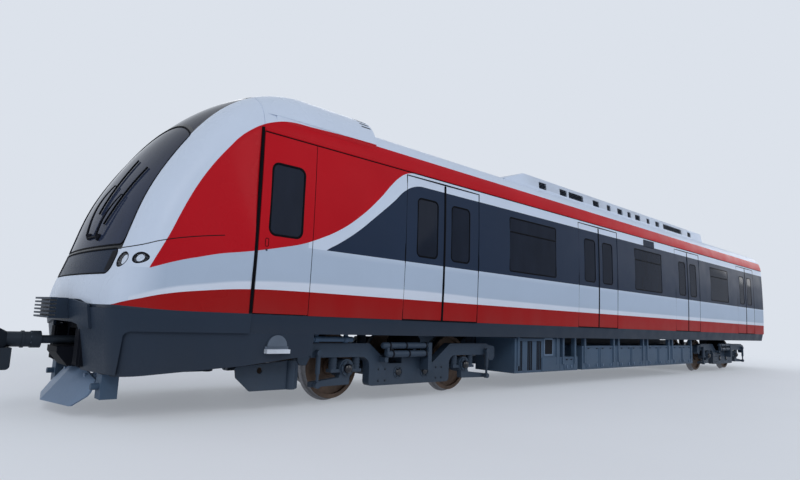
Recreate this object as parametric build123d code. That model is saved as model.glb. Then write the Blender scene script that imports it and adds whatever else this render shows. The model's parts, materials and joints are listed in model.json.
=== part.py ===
from build123d import *
import math
import os

# Leading car of a light rail train, with its driver's cab, at real size in millimetres.
# x runs forward to the nose, y to the left side, z up, with the origin at half the length.
# The model is drawn with z = 0 at the rail head. Writing a part lifts it by the flange
# depth, so that the car stands on its wheel flanges.

# Wheels and axles
wheel_radius = 420.0
flange_depth = 28.0
flange_width = 32.0
tread_width = 103.0
tread_taper = 4.0
wheel_back_spacing = 1360.0
wheel_web_width = 45.0
wheel_rim_depth = 60.0
wheel_hub_radius = 130.0
wheel_hub_width = 150.0
axle_radius = 80.0
journal_radius = 65.0
journal_length = 170.0
journal_inner_y = 905.0
journal_clearance = 0.05
brake_disc_radius = 290.0
brake_disc_width = 90.0
brake_disc_offset = 330.0

# Bogies
bogie_pitch = 12650.0
front_bogie_x = 5550.0
wheelbase = 2300.0
side_frame_y = 1075.0
side_frame_width = 130.0
side_frame_low = 180.0
side_frame_mid = 465.0
side_frame_top = 735.0
side_frame_tail = 215.0
side_frame_corner = 60.0
arch_half_width = 365.0
arch_top_z = 560.0
arch_corner = 130.0
waist_offset = 720.0
shoulder_offset = 350.0
end_bracket_length = 175.0
end_bracket_low = 470.0
end_bracket_drop = 20.0
end_bracket_slope = 25.0
end_bracket_cut = 50.0
end_bracket_set_in = 10.0
transom_radius = 100.0
transom_offset = 260.0
transom_z = 345.0
transom_ring_radius = 85.0
transom_ring_width = 17.0
transom_ring_proud = 8.0
pivot_block_half = 230.0
pivot_block_height = 180.0
axle_box_radius = 115.0
axle_cap_radius = 95.0
axle_cap_depth = 22.0
wing_half = 245.0
wing_low = 370.0
wing_high = 410.0
primary_radius = 50.0
primary_offset = 185.0
air_spring_radius = 240.0
air_spring_y = 960.0
air_spring_seat_z = 560.0
air_spring_seat_half = 200.0
spring_seat_gap = 0.3
bolster_depth = 80.0
bolster_half_length = 260.0
bolster_half_width = 1250.0
pivot_pin_radius = 70.0
pivot_pin_low = 330.0
damper_y = 1262.0
damper_x0 = -160.0
damper_x1 = 690.0
damper_low_z = 602.0
damper_low_radius = 45.0
damper_high_z = 713.0
damper_high_radius = 42.0
damper_clamp_x = 590.0
damper_plate = 70.0
damper_clamp_half = 30.0
damper_short = 80.0
damper_foot_low_z = 375.0
damper_foot_high_z = 460.0
post_damper_radius = 29.0
post_damper_eye = 38.0
post_damper_low_z = 235.0
post_damper_high_z = 620.0
post_damper_offset = 490.0
post_damper_gap = 10.0
post_damper_width = 60.0
axle_arm_half = 30.0
caliper_half = 85.0
caliper_low = 380.0
caliper_high = 480.0
caliper_gap = 6.0
guard_y = 1095.0
guard_thickness = 22.0
guard_length = 820.0
guard_low_z = 200.0
guard_post_radius = 60.0
guard_hole_radius = 36.0
guard_hole_back = 306.0
guard_hole_z = 426.0
guard_top_z = 545.0
guard_nose_cut = 195.0
guard_nose_low_z = 354.0
guard_nose_high_z = 470.0
guard_corner = 20.0
guard_post_x = 95.0
guard_post_top_z = 530.0
pivot_clearance = 0.5

# Body shell
body_rear_x = -10140.0
cab_joint_x = 8260.0
cab_door_rear_x = 7540.0
floor_z = 1060.0
floor_under_z = 950.0
skirt_bottom_z = 850.0
cantrail_z = 3100.0
ceiling_z = 3200.0
waist_z = 1900.0
waist_half_width = 1430.0
side_radius = 25000.0
wall_thickness = 90.0
cantrail_radius = 500.0
cantrail_turn = 78.0
end_wall_thickness = 60.0
sole_set_in = 8.0
sole_lean = 43.0
sole_thickness = 50.0
fit_gap = 0.3
glazing_y = 1200.0
# Farther than any piece of the car from its middle plane, for shapes that cut
beyond = 2000.0

# Passenger doors and side windows
door_front_x = 5250.0
door_pitch = 4560.0
door_count = 4
doorway_width = 1570.0
doorway_top = 3050.0
door_thickness = 42.0
door_edge_gap = 5.0
door_inset = 4.0
door_seal_width = 26.0
door_window_near = 150.0
door_window_far = 560.0
window_sill_z = 1940.0
door_window_top = 2760.0
door_window_corner = 70.0
side_window_width = 1395.0
side_window_low = 1920.0
side_window_top = 2810.0
side_window_corner = 35.0
transom_share = 0.26
transom_gap = 12.0
glass_thickness = 24.0
glass_inset = 4.0

# Driver's door, hung on its rear edge and opening inwards
cab_door_gap = 9.0
cab_door_inner_y = 1370.0
cab_door_window_width = 430.0
cab_door_window_corner = 80.0
cab_door_window_shift = 15.0
hinge_radius = 14.0
hinge_pin_radius = 8.0
hinge_offset = 14.0
hinge_length = 90.0
hinge_lug_radius = 10.0
hinge_lug_height = 35.0
hinge_zs = [1400.0, 2700.0]
post_width = 40.0
post_depth = 30.0

# Gangway to the next car
gangway_width = 1100.0
gangway_low = 1110.0
gangway_high = 3000.0
gangway_corner = 120.0
gangway_length = 320.0
gangway_folds = 4
gangway_deep = 200.0
gangway_shallow = 130.0
gangway_frame_length = 40.0
gangway_frame_depth = 150.0

# Nose of the cab: sections in planes that fan out from a line across the car
fan_x = 7650.0
fan_z = 400.0
mask_thickness = 60.0
dome_rear_x = 6600.0
dome_edge_z = 3330.0
# columns: x and z on the centre line, half width at the corner, corner radius, bow radius
nose_sections = [
    (9750.0, 560.0, 1338.0, 320.0, 6000.0),
    (9730.0, 1170.0, 1345.0, 320.0, 6000.0),
    (9670.0, 1430.0, 1350.0, 320.0, 6000.0),
    (9580.0, 1700.0, 1355.0, 320.0, 6000.0),
    (9400.7, 2268.7, 1362.0, 320.0, 6000.0),
    (9134.6, 2802.3, 1372.0, 340.0, 5600.0),
    (8788.0, 3288.0, 1385.0, 390.0, 5200.0),
    (8362.0, 3645.0, 1395.0, 470.0, 4900.0),
    (7650.0, 3857.0, 1400.0, 550.0, 4640.0),
    (7350.0, 3860.0, 1400.0, 550.0, 4640.0),
]
dome_row = nose_sections[-2]

nose_x = nose_sections[0][0]
nose_foot_half = nose_sections[1][2]
nose_corner = nose_sections[0][3]
nose_bow = nose_sections[0][4]
nose_top_z = dome_row[1]
fan_base = 300.0

# Glass and lamps in the nose
windscreen_low_z = 1700.0
windscreen_low_half = 980.0
windscreen_side_z = 2960.0
windscreen_top_half = 1000.0
windscreen_crown_z = 3250.0
windscreen_corner = 70.0
nose_glass_thickness = 18.0
display_x = 8700.0
display_z = 3000.0
display_lean = 50.0
display_half = windscreen_top_half - 40.0
display_low = 125.0
display_high = 870.0
display_low_drop = 250.0
display_high_drop = 100.0
notch_margin = 50.0
notch_rear_x = 8080.0
lower_panel_half = 950.0
lower_panel_low = 1400.0
lower_panel_high = 1655.0
lower_panel_corner = 80.0
# columns: distance from the middle, height above the rail, width, height
lamp_table = [(1094.0, 1537.0, 168.0, 158.0), (1270.0, 1554.0, 112.0, 116.0)]
lamp_depth = 40.0
lamp_inset = 3.0

# Front skirt, bumper, anticlimber, obstacle deflector and side panels under the cab
skirt_thickness = 30.0
skirt_low_z = 430.0
skirt_drop = 110.0
skirt_narrow = 60.0
skirt_rear_x = 9500.0
skirt_recess_corner = 60.0
coupler_opening_half = 510.0
coupler_opening_foot = 420.0
coupler_opening_high = 915.0
coupler_opening_corner = 110.0
bumper_thickness = 25.0
bumper_half = 820.0
bumper_middle_half = 400.0
bumper_middle_low = 905.0
bumper_middle_high = 1135.0
bumper_end_low = 850.0
bumper_end_high = 1088.0
climber_half = 330.0
climber_reach = 190.0
climber_top_z = 1145.0
climber_ribs = 6
climber_pitch = 38.0
climber_rib = 20.0
deflector_half = 720.0
deflector_top_z = 420.0
deflector_low_z = 85.0
deflector_top_x = 9580.0
deflector_low_x = 9845.0
deflector_thickness = 22.0
deflector_sweep = 0.22
deflector_corner = 35.0
deflector_arm_y = 385.0
deflector_arm_half = 25.0
deflector_arm_back = 190.0
deflector_arm_gap = 30.0
deflector_side_low_z = 200.0
deflector_side_high_z = 335.0
panel_gap = 1.0
panel_recess = skirt_thickness + panel_gap
panel_thickness = 25.0
panel_rear_x = 7400.0
# the panel's lower edge, from the rear to the front
panel_low_edge = [(panel_rear_x, 605.0), (8300.0, 500.0), (skirt_rear_x - fit_gap, 412.0)]

# Housing round the coupler, its support, and the boxes under the cab
housing_x0 = 9240.0
housing_x1 = 9560.0
housing_half = 560.0
housing_low_z = 520.0
housing_slot_half = 340.0
housing_slot_height = 240.0
housing_groove = 14.0
housing_groove_width = 18.0
housing_groove_pitch = 40.0
housing_grooves = 5
support_half = 200.0
support_reach = 230.0
support_top_z = 640.0
support_low_z = 440.0
support_lip = 60.0
cab_box_x = 9470.0
cab_box_y = 860.0
cab_box_size = 160.0
cab_box_low_z = 180.0
cab_box_gap = 10.0
cab_box_stem_half = 30.0
cab_box_plug_z = 300.0
cab_box_plug_radius = 32.0
cab_box_plug_length = 70.0
cab_pipe_x0 = 6700.0
cab_pipe_x1 = 7355.0
cab_pipe_y = 1200.0
cab_pipe_z = 788.0
cab_pipe_radius = 34.0
cab_pipe_hanger_in = 100.0
cab_pipe_clamp_half = 35.0
cab_pipe_clamp_wall = 8.0

# Couplers
coupler_z = 705.0
front_coupler_pivot_x = 8800.0
front_coupler_face_x = 10440.0
coupler_eye_radius = 90.0
coupler_eye_height = 140.0
coupler_pin_radius = 30.0
coupler_lug_thickness = 40.0
coupler_lug_gap = 2.0
anchor_half = 220.0
anchor_front = 200.0
anchor_back = 330.0
coupler_shank_radius = 43.0
coupler_collar_radius = 88.0
coupler_collar_offset = 530.0
coupler_collar_length = 90.0
coupler_ring_offset = 150.0
coupler_ring_length = 25.0
coupler_body_radius = 78.0
coupler_box_half = 150.0
coupler_box_drop = 125.0
coupler_box_length = 230.0
coupler_box_corner = 40.0
coupler_plate = 35.0
coupler_neck_back = 220.0
coupler_head_back = 90.0
coupler_neck_width = 170.0
coupler_neck_height = 160.0
coupler_head_width = 320.0
coupler_head_height = 290.0
coupler_face_width = 380.0
coupler_face_height = 340.0
coupler_horn_reach = 60.0
coupler_horn_y = 85.0
coupler_horn_radius = 60.0
coupler_horn_tip = 30.0
coupler_cup_depth = 90.0
coupler_cup_radius = 70.0
coupler_cup_foot = 38.0
rear_coupler_pivot_x = -9500.0
rear_coupler_end_x = -10500.0
rear_flange_radius = 150.0
rear_flange_width = 35.0
rear_bolt_circle = 240.0
rear_bolt_count = 4
rear_bolt_radius = 14.0
drawbar_radius = 68.0

# Equipment under the floor
underfloor_outer_y = 1250.0
underfloor_inner_y = 420.0
# columns: front end, length, bottom, top, number of slots
underfloor_table = [
    (3250.0, 1400.0, 250.0, 830.0, 4),
    (1840.0, 620.0, 250.0, 500.0, 0),
    (1050.0, 1380.0, 250.0, 700.0, 0),
    (-345.0, 1380.0, 250.0, 700.0, 0),
    (-1740.0, 1380.0, 250.0, 700.0, 0),
    (-3135.0, 1380.0, 250.0, 700.0, 0),
]
reservoir_xs = [2300.0, 200.0, -1900.0]
reservoir_length = 1500.0
reservoir_radius = 180.0
reservoir_z = 620.0
reservoir_corner = 70.0
strap_share = 0.3
strap_half = 30.0
strap_thickness = 8.0
slot_first = 110.0
slot_pitch = 165.0
slot_half = 45.0
slot_depth = 30.0
slot_margin = 60.0
hanger_width = 60.0
hanger_margin = 70.0
hanger_proud = 15.0
hanger_low = 120.0

# Roof equipment
fairing_x0 = -5650.0
fairing_x1 = 3500.0
fairing_ramp = 1000.0
fairing_rear_ramp = 120.0
fairing_top_z = 3885.0
fairing_shoulder_y = 900.0
fairing_shoulder_z = 3850.0
fairing_edge_y = 1150.0
fairing_edge_z = 3750.0
fairing_foot_y = 1190.0
vent_low_z = 3565.0
vent_high_z = 3690.0
vent_depth = 60.0
# columns: middle and length of each vent in the fairing's flanks
vent_table = [
    (2320.0, 250.0), (1600.0, 260.0), (1120.0, 560.0), (320.0, 260.0), (-240.0, 160.0), (-760.0, 240.0),
    (-1210.0, 160.0), (-1640.0, 260.0), (-2200.0, 160.0), (-2720.0, 220.0), (-3640.0, 1150.0),
    (-4730.0, 230.0),
]
dome_top_z = nose_top_z
antenna_xs = [7350.0, 6950.0]
antenna_base_length = 130.0
antenna_base_half = 60.0
antenna_base_height = 14.0
antenna_height = 75.0
antenna_half = 14.0

# Inside
bench_length = 2700.0
bench_low_z = 1450.0
bench_front_z = 1500.0
bench_seat_z = 1560.0
bench_back_z = 2050.0
bench_depth = 460.0
bench_nose = 20.0
bench_back_foot = 90.0
bench_back_head = 50.0
pole_offset = 950.0
pole_y = 820.0
pole_radius = 17.0
partition_x = 7480.0
partition_thickness = 50.0
partition_door_width = 760.0
partition_door_low = 20.0
partition_door_height = 1960.0
partition_door_corner = 40.0
partition_groove = 6.0
desk_x0 = 8850.0
desk_x1 = 9420.0
desk_half = 1080.0
seat_x = 8350.0
step_x = 7893.0
step_z = 710.0
step_radius = 125.0
step_half = 147.0
step_tread_low = 635.0
step_tread_high = 680.0
step_reach = 60.0

os.makedirs("parts", exist_ok=True)


def save(name, *shapes):
    """Write one node, with all its solids, lifted on to its flanges."""
    solids = [solid for shape in shapes for solid in shape.solids()]
    export_step(Pos(0, 0, flange_depth) * Compound(solids), "parts/" + name + ".step")


def block(x0, x1, y0, y1, z0, z1):
    """A plain block between two corners."""
    return Pos((x0 + x1) / 2, (y0 + y1) / 2, (z0 + z1) / 2) * Box(x1 - x0, y1 - y0, z1 - z0)


def both_sides(shape):
    """A piece on the left and its mirror image on the right."""
    return [shape, mirror(shape, about=Plane.XZ)]


def along_x(face, x0, x1):
    """Push a section of the car, drawn across by up, from x0 to x1."""
    return extrude(Plane.YZ.offset(x0) * face, x1 - x0)


def along_y(face, y0, y1):
    """Push a side view, drawn along by up, from y0 to y1."""
    return Pos(0, y0, 0) * extrude(Plane.XZ * face, y1 - y0, dir=(0, 1, 0))


def rod_y(x, z, radius, y0, y1):
    """A round bar across the car."""
    return Pos(x, (y0 + y1) / 2, z) * Rot(90, 0, 0) * Cylinder(radius, y1 - y0)


def rod_x(x0, x1, y, z, radius):
    """A round bar along the car."""
    return Pos((x0 + x1) / 2, y, z) * Rot(0, 90, 0) * Cylinder(radius, x1 - x0)


def rod_z(x, y, z0, z1, radius):
    """A round upright bar."""
    return Pos(x, y, (z0 + z1) / 2) * Cylinder(radius, z1 - z0)


def side_y(z):
    """Half width of the body on the side's long arc."""
    drop = side_radius - math.sqrt(side_radius ** 2 - (z - waist_z) ** 2)
    return waist_half_width - drop


inner_wall_y = waist_half_width - wall_thickness
door_xs = [door_front_x - i * door_pitch for i in range(door_count)]
window_xs = [(a + b) / 2 for a, b in zip(door_xs, door_xs[1:])]
wall_rear_x = body_rear_x + end_wall_thickness
door_window_x = (door_window_near + door_window_far) / 2
door_window_width = door_window_far - door_window_near

roof_half_width = side_y(cantrail_z)
cantrail_centre_y = roof_half_width - cantrail_radius
turn = math.radians(cantrail_turn)
roof_radius = cantrail_centre_y / math.cos(turn) + cantrail_radius
roof_crown_z = cantrail_z + cantrail_radius * math.sin(turn) + roof_radius * (1 - math.sin(turn))


def roof_line(gap):
    """Outer line of the roof from the right cantrail over the crown to the left."""
    radius = cantrail_radius + gap
    points = []
    for degrees in (0, cantrail_turn / 2, cantrail_turn):
        angle = math.radians(degrees)
        points.append((cantrail_centre_y + radius * math.cos(angle), cantrail_z + radius * math.sin(angle)))
    left = ThreePointArc(*points)
    right = ThreePointArc(*[(-y, z) for y, z in points])
    (ye, ze) = points[2]
    return left + ThreePointArc((ye, ze), (0, roof_crown_z + gap), (-ye, ze)) + right


def body_fill(gap, x0, x1):
    """The whole space inside the roof's outer surface, down to the rail head."""
    half = roof_half_width + gap
    rest = Polyline((half, cantrail_z), (half, 0), (-half, 0), (-half, cantrail_z))
    return along_x(make_face(roof_line(gap) + rest), x0, x1)


def wall_section(z0, z1, inset, inner_y):
    """Section of the left side from z0 to z1: the side's arc outside, plumb inside."""
    middle = (z0 + z1) / 2
    arc = ThreePointArc((side_y(z0) - inset, z0), (side_y(middle) - inset, middle), (side_y(z1) - inset, z1))
    rest = Polyline((side_y(z1) - inset, z1), (inner_y, z1), (inner_y, z0), (side_y(z0) - inset, z0))
    return make_face(arc + rest)


def side_pane(x, z0, z1, width, corner, grow):
    """A window-shaped prism through the left side."""
    face = Pos(x, (z0 + z1) / 2) * RectangleRounded(width + grow, z1 - z0 + grow, corner)
    return along_y(face, glazing_y, beyond)


def bow_outline(reach, joint, half_joint, half_front, corner, bow, base, inset):
    """Closed outline drawn across by outward: a base, two sides, two corners and the bow."""
    front = reach - corner
    run = math.hypot(half_front - half_joint, front - joint)
    ds = (half_front - half_joint) / run
    du = (front - joint) / run
    ns = -du
    nu = ds
    qs = half_joint + ns * corner
    qu = joint + nu * corner - (reach - bow)
    dot = qs * ds + qu * du
    t = -dot + math.sqrt(dot * dot - (qs * qs + qu * qu - (bow - corner) ** 2))
    cs = half_joint + ns * corner + t * ds
    cu = joint + nu * corner + t * du
    es = cs / (bow - corner)
    eu = (cu - (reach - bow)) / (bow - corner)
    ms = es - ns
    mu = eu - nu
    m = math.hypot(ms, mu)
    r = corner - inset
    start = (cs - ns * r, cu - nu * r)
    middle = (cs + ms / m * r, cu + mu / m * r)
    end = (cs + es * r, cu + eu * r)
    slide = (base - inset - start[1]) / du
    foot = (start[0] + slide * ds, base - inset)
    left = Polyline(foot, start) + ThreePointArc(start, middle, end)
    crown = ThreePointArc(end, (0, reach - inset), (-end[0], end[1]))
    right = ThreePointArc((-end[0], end[1]), (-middle[0], middle[1]), (-start[0], start[1]))
    back = Polyline((-start[0], start[1]), (-foot[0], foot[1]), foot)
    return make_face(left + crown + right + back)


def nose_section(row, inset):
    """One section of the nose in its own plane of the fan."""
    x, z, half_front, corner, bow = row
    angle = math.atan2(z - fan_z, x - fan_x)
    reach = math.hypot(x - fan_x, z - fan_z)
    joint = 0
    half_joint = half_front
    if x > cab_joint_x + corner:
        joint = (cab_joint_x - fan_x) / math.cos(angle)
        half_joint = side_y(fan_z + joint * math.sin(angle))
    plane = Plane(origin=(fan_x, 0, fan_z), x_dir=(0, 1, 0),
                  z_dir=(math.sin(angle), 0, -math.cos(angle)))
    return plane * bow_outline(reach, joint, half_joint, half_front, corner, bow, fan_base, inset)


def nose_solid(inset, trim):
    """The nose filled up to a surface that lies inset inside the outer one."""
    body = loft([nose_section(row, inset) for row in nose_sections])
    return body & block(fan_x - trim, nose_x + beyond, -beyond, beyond, floor_z - trim, nose_top_z + beyond)


def nose_skin(outer, inner):
    """The skin of the nose between two depths inside its outer surface."""
    return nose_solid(outer, 0) - nose_solid(inner, 20)


def nose_plan(inset, drop=0, narrow=0):
    """Plan of the nose at its foot, drawn across by outward from the cab joint."""
    reach = nose_x - cab_joint_x - drop
    half_front = nose_foot_half - narrow
    return bow_outline(reach, 0, side_y(floor_z) - narrow, half_front, nose_corner, nose_bow, 0, inset)


def plan_up(face, x, z0, z1):
    """Push a plan drawn across by outward from x, from z0 up to z1."""
    plane = Plane(origin=(x, 0, z0), x_dir=(0, 1, 0), z_dir=(0, 0, -1))
    return extrude(plane * face, z1 - z0, dir=(0, 0, 1))


bogie_xs = [front_bogie_x, front_bogie_x - bogie_pitch]
side_frame_end = wheelbase / 2 + arch_half_width + side_frame_tail
frame_inner_y = side_frame_y - side_frame_width / 2
frame_outer_y = side_frame_y + side_frame_width / 2
post_damper_x = wheelbase / 2 + post_damper_offset
bolster_z = floor_under_z - bolster_depth
sole_top_y = side_y(floor_z) - sole_set_in
sole_low_y = sole_top_y - sole_lean
sole_inner_y = sole_low_y - sole_thickness


def underframe():
    """Floor with its sole skirts, the bolsters with their pivot pins, and the cab floor."""
    half = [(0, floor_z), (sole_top_y, floor_z), (sole_low_y, skirt_bottom_z), (sole_inner_y, skirt_bottom_z),
            (sole_inner_y - 30, floor_under_z), (0, floor_under_z)]
    floor = along_x(make_face(Polyline(*half, close=True)), wall_rear_x, cab_joint_x)
    floor = floor + mirror(floor, about=Plane.XZ)
    for x in bogie_xs:
        floor += block(x - bolster_half_length, x + bolster_half_length, -bolster_half_width, bolster_half_width,
                       bolster_z, floor_under_z)
        floor += rod_z(x, 0, pivot_pin_low, bolster_z, pivot_pin_radius)
    return floor + front_skirt_block(skirt_thickness + fit_gap, floor_under_z, floor_z)


def side_wall():
    """Left side wall with its doorways and window openings cut."""
    wall = along_x(wall_section(floor_z, cantrail_z, 0, inner_wall_y), wall_rear_x, cab_door_rear_x)
    for x in door_xs:
        wall -= block(x - doorway_width / 2, x + doorway_width / 2, inner_wall_y - 1, waist_half_width + 1,
                      floor_z - 1, doorway_top)
    for x in window_xs:
        wall -= side_pane(x, side_window_low, side_window_top, side_window_width, side_window_corner, 0)
    return wall


def roof_notch(gap):
    """Room in the front edge of the roof for the mask behind the display panel."""
    half = display_half + notch_margin - gap
    return block(notch_rear_x + gap, cab_joint_x + 1, -half, half, ceiling_z - 1, nose_top_z)


def roof():
    """Thick roof with a flat ceiling and both cantrails."""
    low = Polyline((-roof_half_width, cantrail_z), (-inner_wall_y, cantrail_z), (-inner_wall_y, ceiling_z),
                   (inner_wall_y, ceiling_z), (inner_wall_y, cantrail_z), (roof_half_width, cantrail_z))
    return along_x(make_face(roof_line(0) + low), wall_rear_x, cab_joint_x) - roof_notch(0)


def side_windows():
    """Lower pane, transom bar and hopper pane of each side window, on both sides."""
    pieces = []
    band = wall_section(side_window_low - 50, side_window_top + 50, glass_inset,
                        waist_half_width - glass_inset - glass_thickness - 30)
    transom = side_window_top - (side_window_top - side_window_low) * transom_share
    for x in window_xs:
        half = side_window_width / 2 + 1
        pane = along_x(band, x - half, x + half)
        pane &= side_pane(x, side_window_low, side_window_top, side_window_width, side_window_corner,
                          -2 * fit_gap)
        for z0, z1 in ((side_window_low - 1, transom - transom_gap), (transom, side_window_top + 1)):
            pieces += both_sides(pane & block(x - half, x + half, glazing_y, beyond, z0, z1))
    return pieces


def door_leaf():
    """One plug door leaf that reaches forward from x = 0, with its window cut."""
    width = doorway_width / 2 - door_edge_gap - door_seal_width / 2
    inner = side_y(floor_z) - door_thickness
    leaf = along_x(wall_section(floor_z, doorway_top - door_edge_gap, door_inset, inner),
                   door_seal_width / 2, door_seal_width / 2 + width)
    return leaf - side_pane(door_window_x, window_sill_z, door_window_top, door_window_width,
                            door_window_corner, 0)


def door_pane():
    """The glass of one leaf."""
    inner = side_y(floor_z) - door_thickness + 4
    band = wall_section(window_sill_z - 50, door_window_top + 50, door_inset + glass_inset, inner)
    pane = along_x(band, door_window_near - 1, door_window_far + 1)
    return pane & side_pane(door_window_x, window_sill_z, door_window_top, door_window_width,
                            door_window_corner, -2 * fit_gap)


def at_doors(piece):
    """A leaf's piece and its mirror image at every doorway of the left side."""
    pair = [piece, mirror(piece, about=Plane.YZ)]
    return [Pos(x, 0, 0) * item for x in door_xs for item in pair]


def door_seals():
    """Rubber nosing between the two leaves of each doorway, on both sides."""
    inner = side_y(floor_z) - door_thickness
    half = door_seal_width / 2 - fit_gap
    seal = along_x(wall_section(floor_z, doorway_top - door_edge_gap, door_inset + 4, inner), -half, half)
    return [item for x in door_xs for item in both_sides(Pos(x, 0, 0) * seal)]


cab_door_x0 = cab_door_rear_x + cab_door_gap
cab_door_x1 = cab_joint_x - cab_door_gap
cab_door_window_x = (cab_door_x0 + cab_door_x1) / 2 + cab_door_window_shift
cab_hinge_x = cab_door_x0 + hinge_offset
cab_hinge_y = cab_door_inner_y - hinge_radius


def cab_door():
    """Driver's door on the left, with its hinge knuckles on the inside."""
    leaf = along_x(wall_section(floor_z + cab_door_gap, cantrail_z - cab_door_gap, 0, cab_door_inner_y),
                   cab_door_x0, cab_door_x1)
    leaf -= side_pane(cab_door_window_x, window_sill_z, door_window_top, cab_door_window_width,
                      cab_door_window_corner, 0)
    for z in hinge_zs:
        leaf += rod_z(cab_hinge_x, cab_hinge_y, z, z + hinge_length, hinge_radius)
        leaf += block(cab_hinge_x, cab_hinge_x + 60, cab_hinge_y, cab_door_inner_y, z, z + hinge_length)
        leaf -= rod_z(cab_hinge_x, cab_hinge_y, z - 1, z + hinge_length + 1, hinge_pin_radius + pivot_clearance)
    return leaf


def cab_door_pane():
    """The glass of the driver's door."""
    band = wall_section(window_sill_z - 50, door_window_top + 50, glass_inset, cab_door_inner_y + 10)
    pane = along_x(band, cab_door_x0, cab_door_x1)
    return pane & side_pane(cab_door_window_x, window_sill_z, door_window_top, cab_door_window_width,
                            cab_door_window_corner, -2 * fit_gap)


def cab_door_hinges():
    """Hinge posts on the end of the side wall, with a pin through each knuckle."""
    y0 = inner_wall_y - post_depth
    y1 = inner_wall_y - fit_gap
    post = block(cab_door_rear_x - post_width, cab_door_rear_x, y0, y1, hinge_zs[0] - 80,
                 hinge_zs[-1] + hinge_length + 80)
    for z in hinge_zs:
        post += rod_z(cab_hinge_x, cab_hinge_y, z - 40, z + hinge_length + 40, hinge_pin_radius)
        for low in (z - 40, z + hinge_length + 5):
            high = low + hinge_lug_height
            post += block(cab_door_rear_x - 1, cab_hinge_x + hinge_lug_radius, y0, y1, low, high)
            post += block(cab_hinge_x - hinge_lug_radius, cab_hinge_x + hinge_lug_radius, y0, cab_hinge_y, low,
                          high)
            post += rod_z(cab_hinge_x, cab_hinge_y, low, high, hinge_lug_radius)
    return post


def across_section(width, low, high, corner):
    """Rounded upright outline, drawn across by up."""
    return Pos(0, (low + high) / 2) * RectangleRounded(width, high - low, corner)


def rear_end_wall():
    """End wall on the outline of the body, with the gangway doorway cut."""
    outline = make_face(roof_line(0) + Polyline((-roof_half_width, cantrail_z), (-side_y(floor_z), floor_z),
                        (side_y(floor_z), floor_z), (roof_half_width, cantrail_z)))
    middle = make_face(ThreePointArc((roof_half_width, cantrail_z), (waist_half_width, waist_z),
                       (side_y(floor_z), floor_z)) + Polyline((side_y(floor_z), floor_z),
                       (roof_half_width, cantrail_z)))
    wall = along_x(outline, body_rear_x, wall_rear_x)
    bulge = along_x(middle, body_rear_x, wall_rear_x)
    wall = wall + bulge + mirror(bulge, about=Plane.XZ)
    door = across_section(gangway_width, gangway_low, gangway_high, gangway_corner)
    return wall - along_x(door, body_rear_x - 1, wall_rear_x + 1)


def gangway_ring(x0, x1, depth):
    """One frame of the gangway round its doorway."""
    outer = across_section(gangway_width + 2 * depth, gangway_low - depth, gangway_high + depth,
                           gangway_corner + depth / 2)
    inner = across_section(gangway_width, gangway_low, gangway_high, gangway_corner)
    return along_x(outer, x0, x1) - along_x(inner, x0 - 1, x1 + 1)


def gangway():
    """Bellows of deep and shallow folds by turns."""
    pitch = gangway_length / (2 * gangway_folds + 1)
    bellows = gangway_ring(body_rear_x - pitch, body_rear_x, gangway_shallow)
    for i in range(1, 2 * gangway_folds + 1):
        depth = gangway_deep if i % 2 else gangway_shallow
        bellows += gangway_ring(body_rear_x - (i + 1) * pitch, body_rear_x - i * pitch, depth)
    return bellows


def gangway_frame():
    """End frame that bolts to the next car."""
    x = body_rear_x - gangway_length
    return gangway_ring(x - gangway_frame_length, x, gangway_frame_depth)


def nose_cut(face, x0, grow=0):
    """Push an outline, drawn across by up, forward through the front of the nose."""
    return along_x(offset(face, grow) if grow else face, x0, nose_x + beyond)


windscreen_face = make_face(
    Polyline((-windscreen_top_half, windscreen_side_z), (-windscreen_low_half, windscreen_low_z),
             (windscreen_low_half, windscreen_low_z), (windscreen_top_half, windscreen_side_z))
    + ThreePointArc((windscreen_top_half, windscreen_side_z), (0, windscreen_crown_z),
                    (-windscreen_top_half, windscreen_side_z)))
windscreen_face = fillet(windscreen_face.vertices(), windscreen_corner)
lower_panel_face = across_section(2 * lower_panel_half, lower_panel_low, lower_panel_high, lower_panel_corner)


def lamp_prisms(gap):
    """The outlines of the lamps on both sides, pushed forward through the nose."""
    pieces = []
    for y, z, width, height in lamp_table:
        face = Pos(y, z) * Ellipse(width / 2 - gap, height / 2 - gap)
        pieces += both_sides(nose_cut(face, cab_joint_x + lamp_depth))
    return pieces


def display_prism(gap):
    """Outline of the dark panel over the windscreen, pushed out square to the sloping roof."""
    lean = math.radians(display_lean)
    plane = Plane(origin=(display_x, 0, display_z), x_dir=(0, 1, 0),
                  z_dir=(math.cos(lean), 0, math.sin(lean)))
    half = display_half - gap
    low = display_low + gap
    high = display_high - gap
    side_low = low - display_low_drop
    side_high = high - display_high_drop
    outline = ThreePointArc((half, side_low), (0, low), (-half, side_low))
    outline += Polyline((-half, side_low), (-half, side_high))
    outline += ThreePointArc((-half, side_high), (0, high), (half, side_high))
    outline += Polyline((half, side_high), (half, side_low))
    return extrude(plane * make_face(outline), beyond)


def front_skirt_block(inset, z0, z1):
    """The front skirt filled up to a surface inset inside the outer one."""
    slope = (floor_z - skirt_low_z)
    faces = []
    for z in (z0, z1):
        share = (floor_z - z) / slope
        face = nose_plan(inset, skirt_drop * share, skirt_narrow * share)
        faces.append(Plane(origin=(cab_joint_x, 0, z), x_dir=(0, 1, 0), z_dir=(0, 0, -1)) * face)
    return loft(faces, ruled=True)


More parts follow.
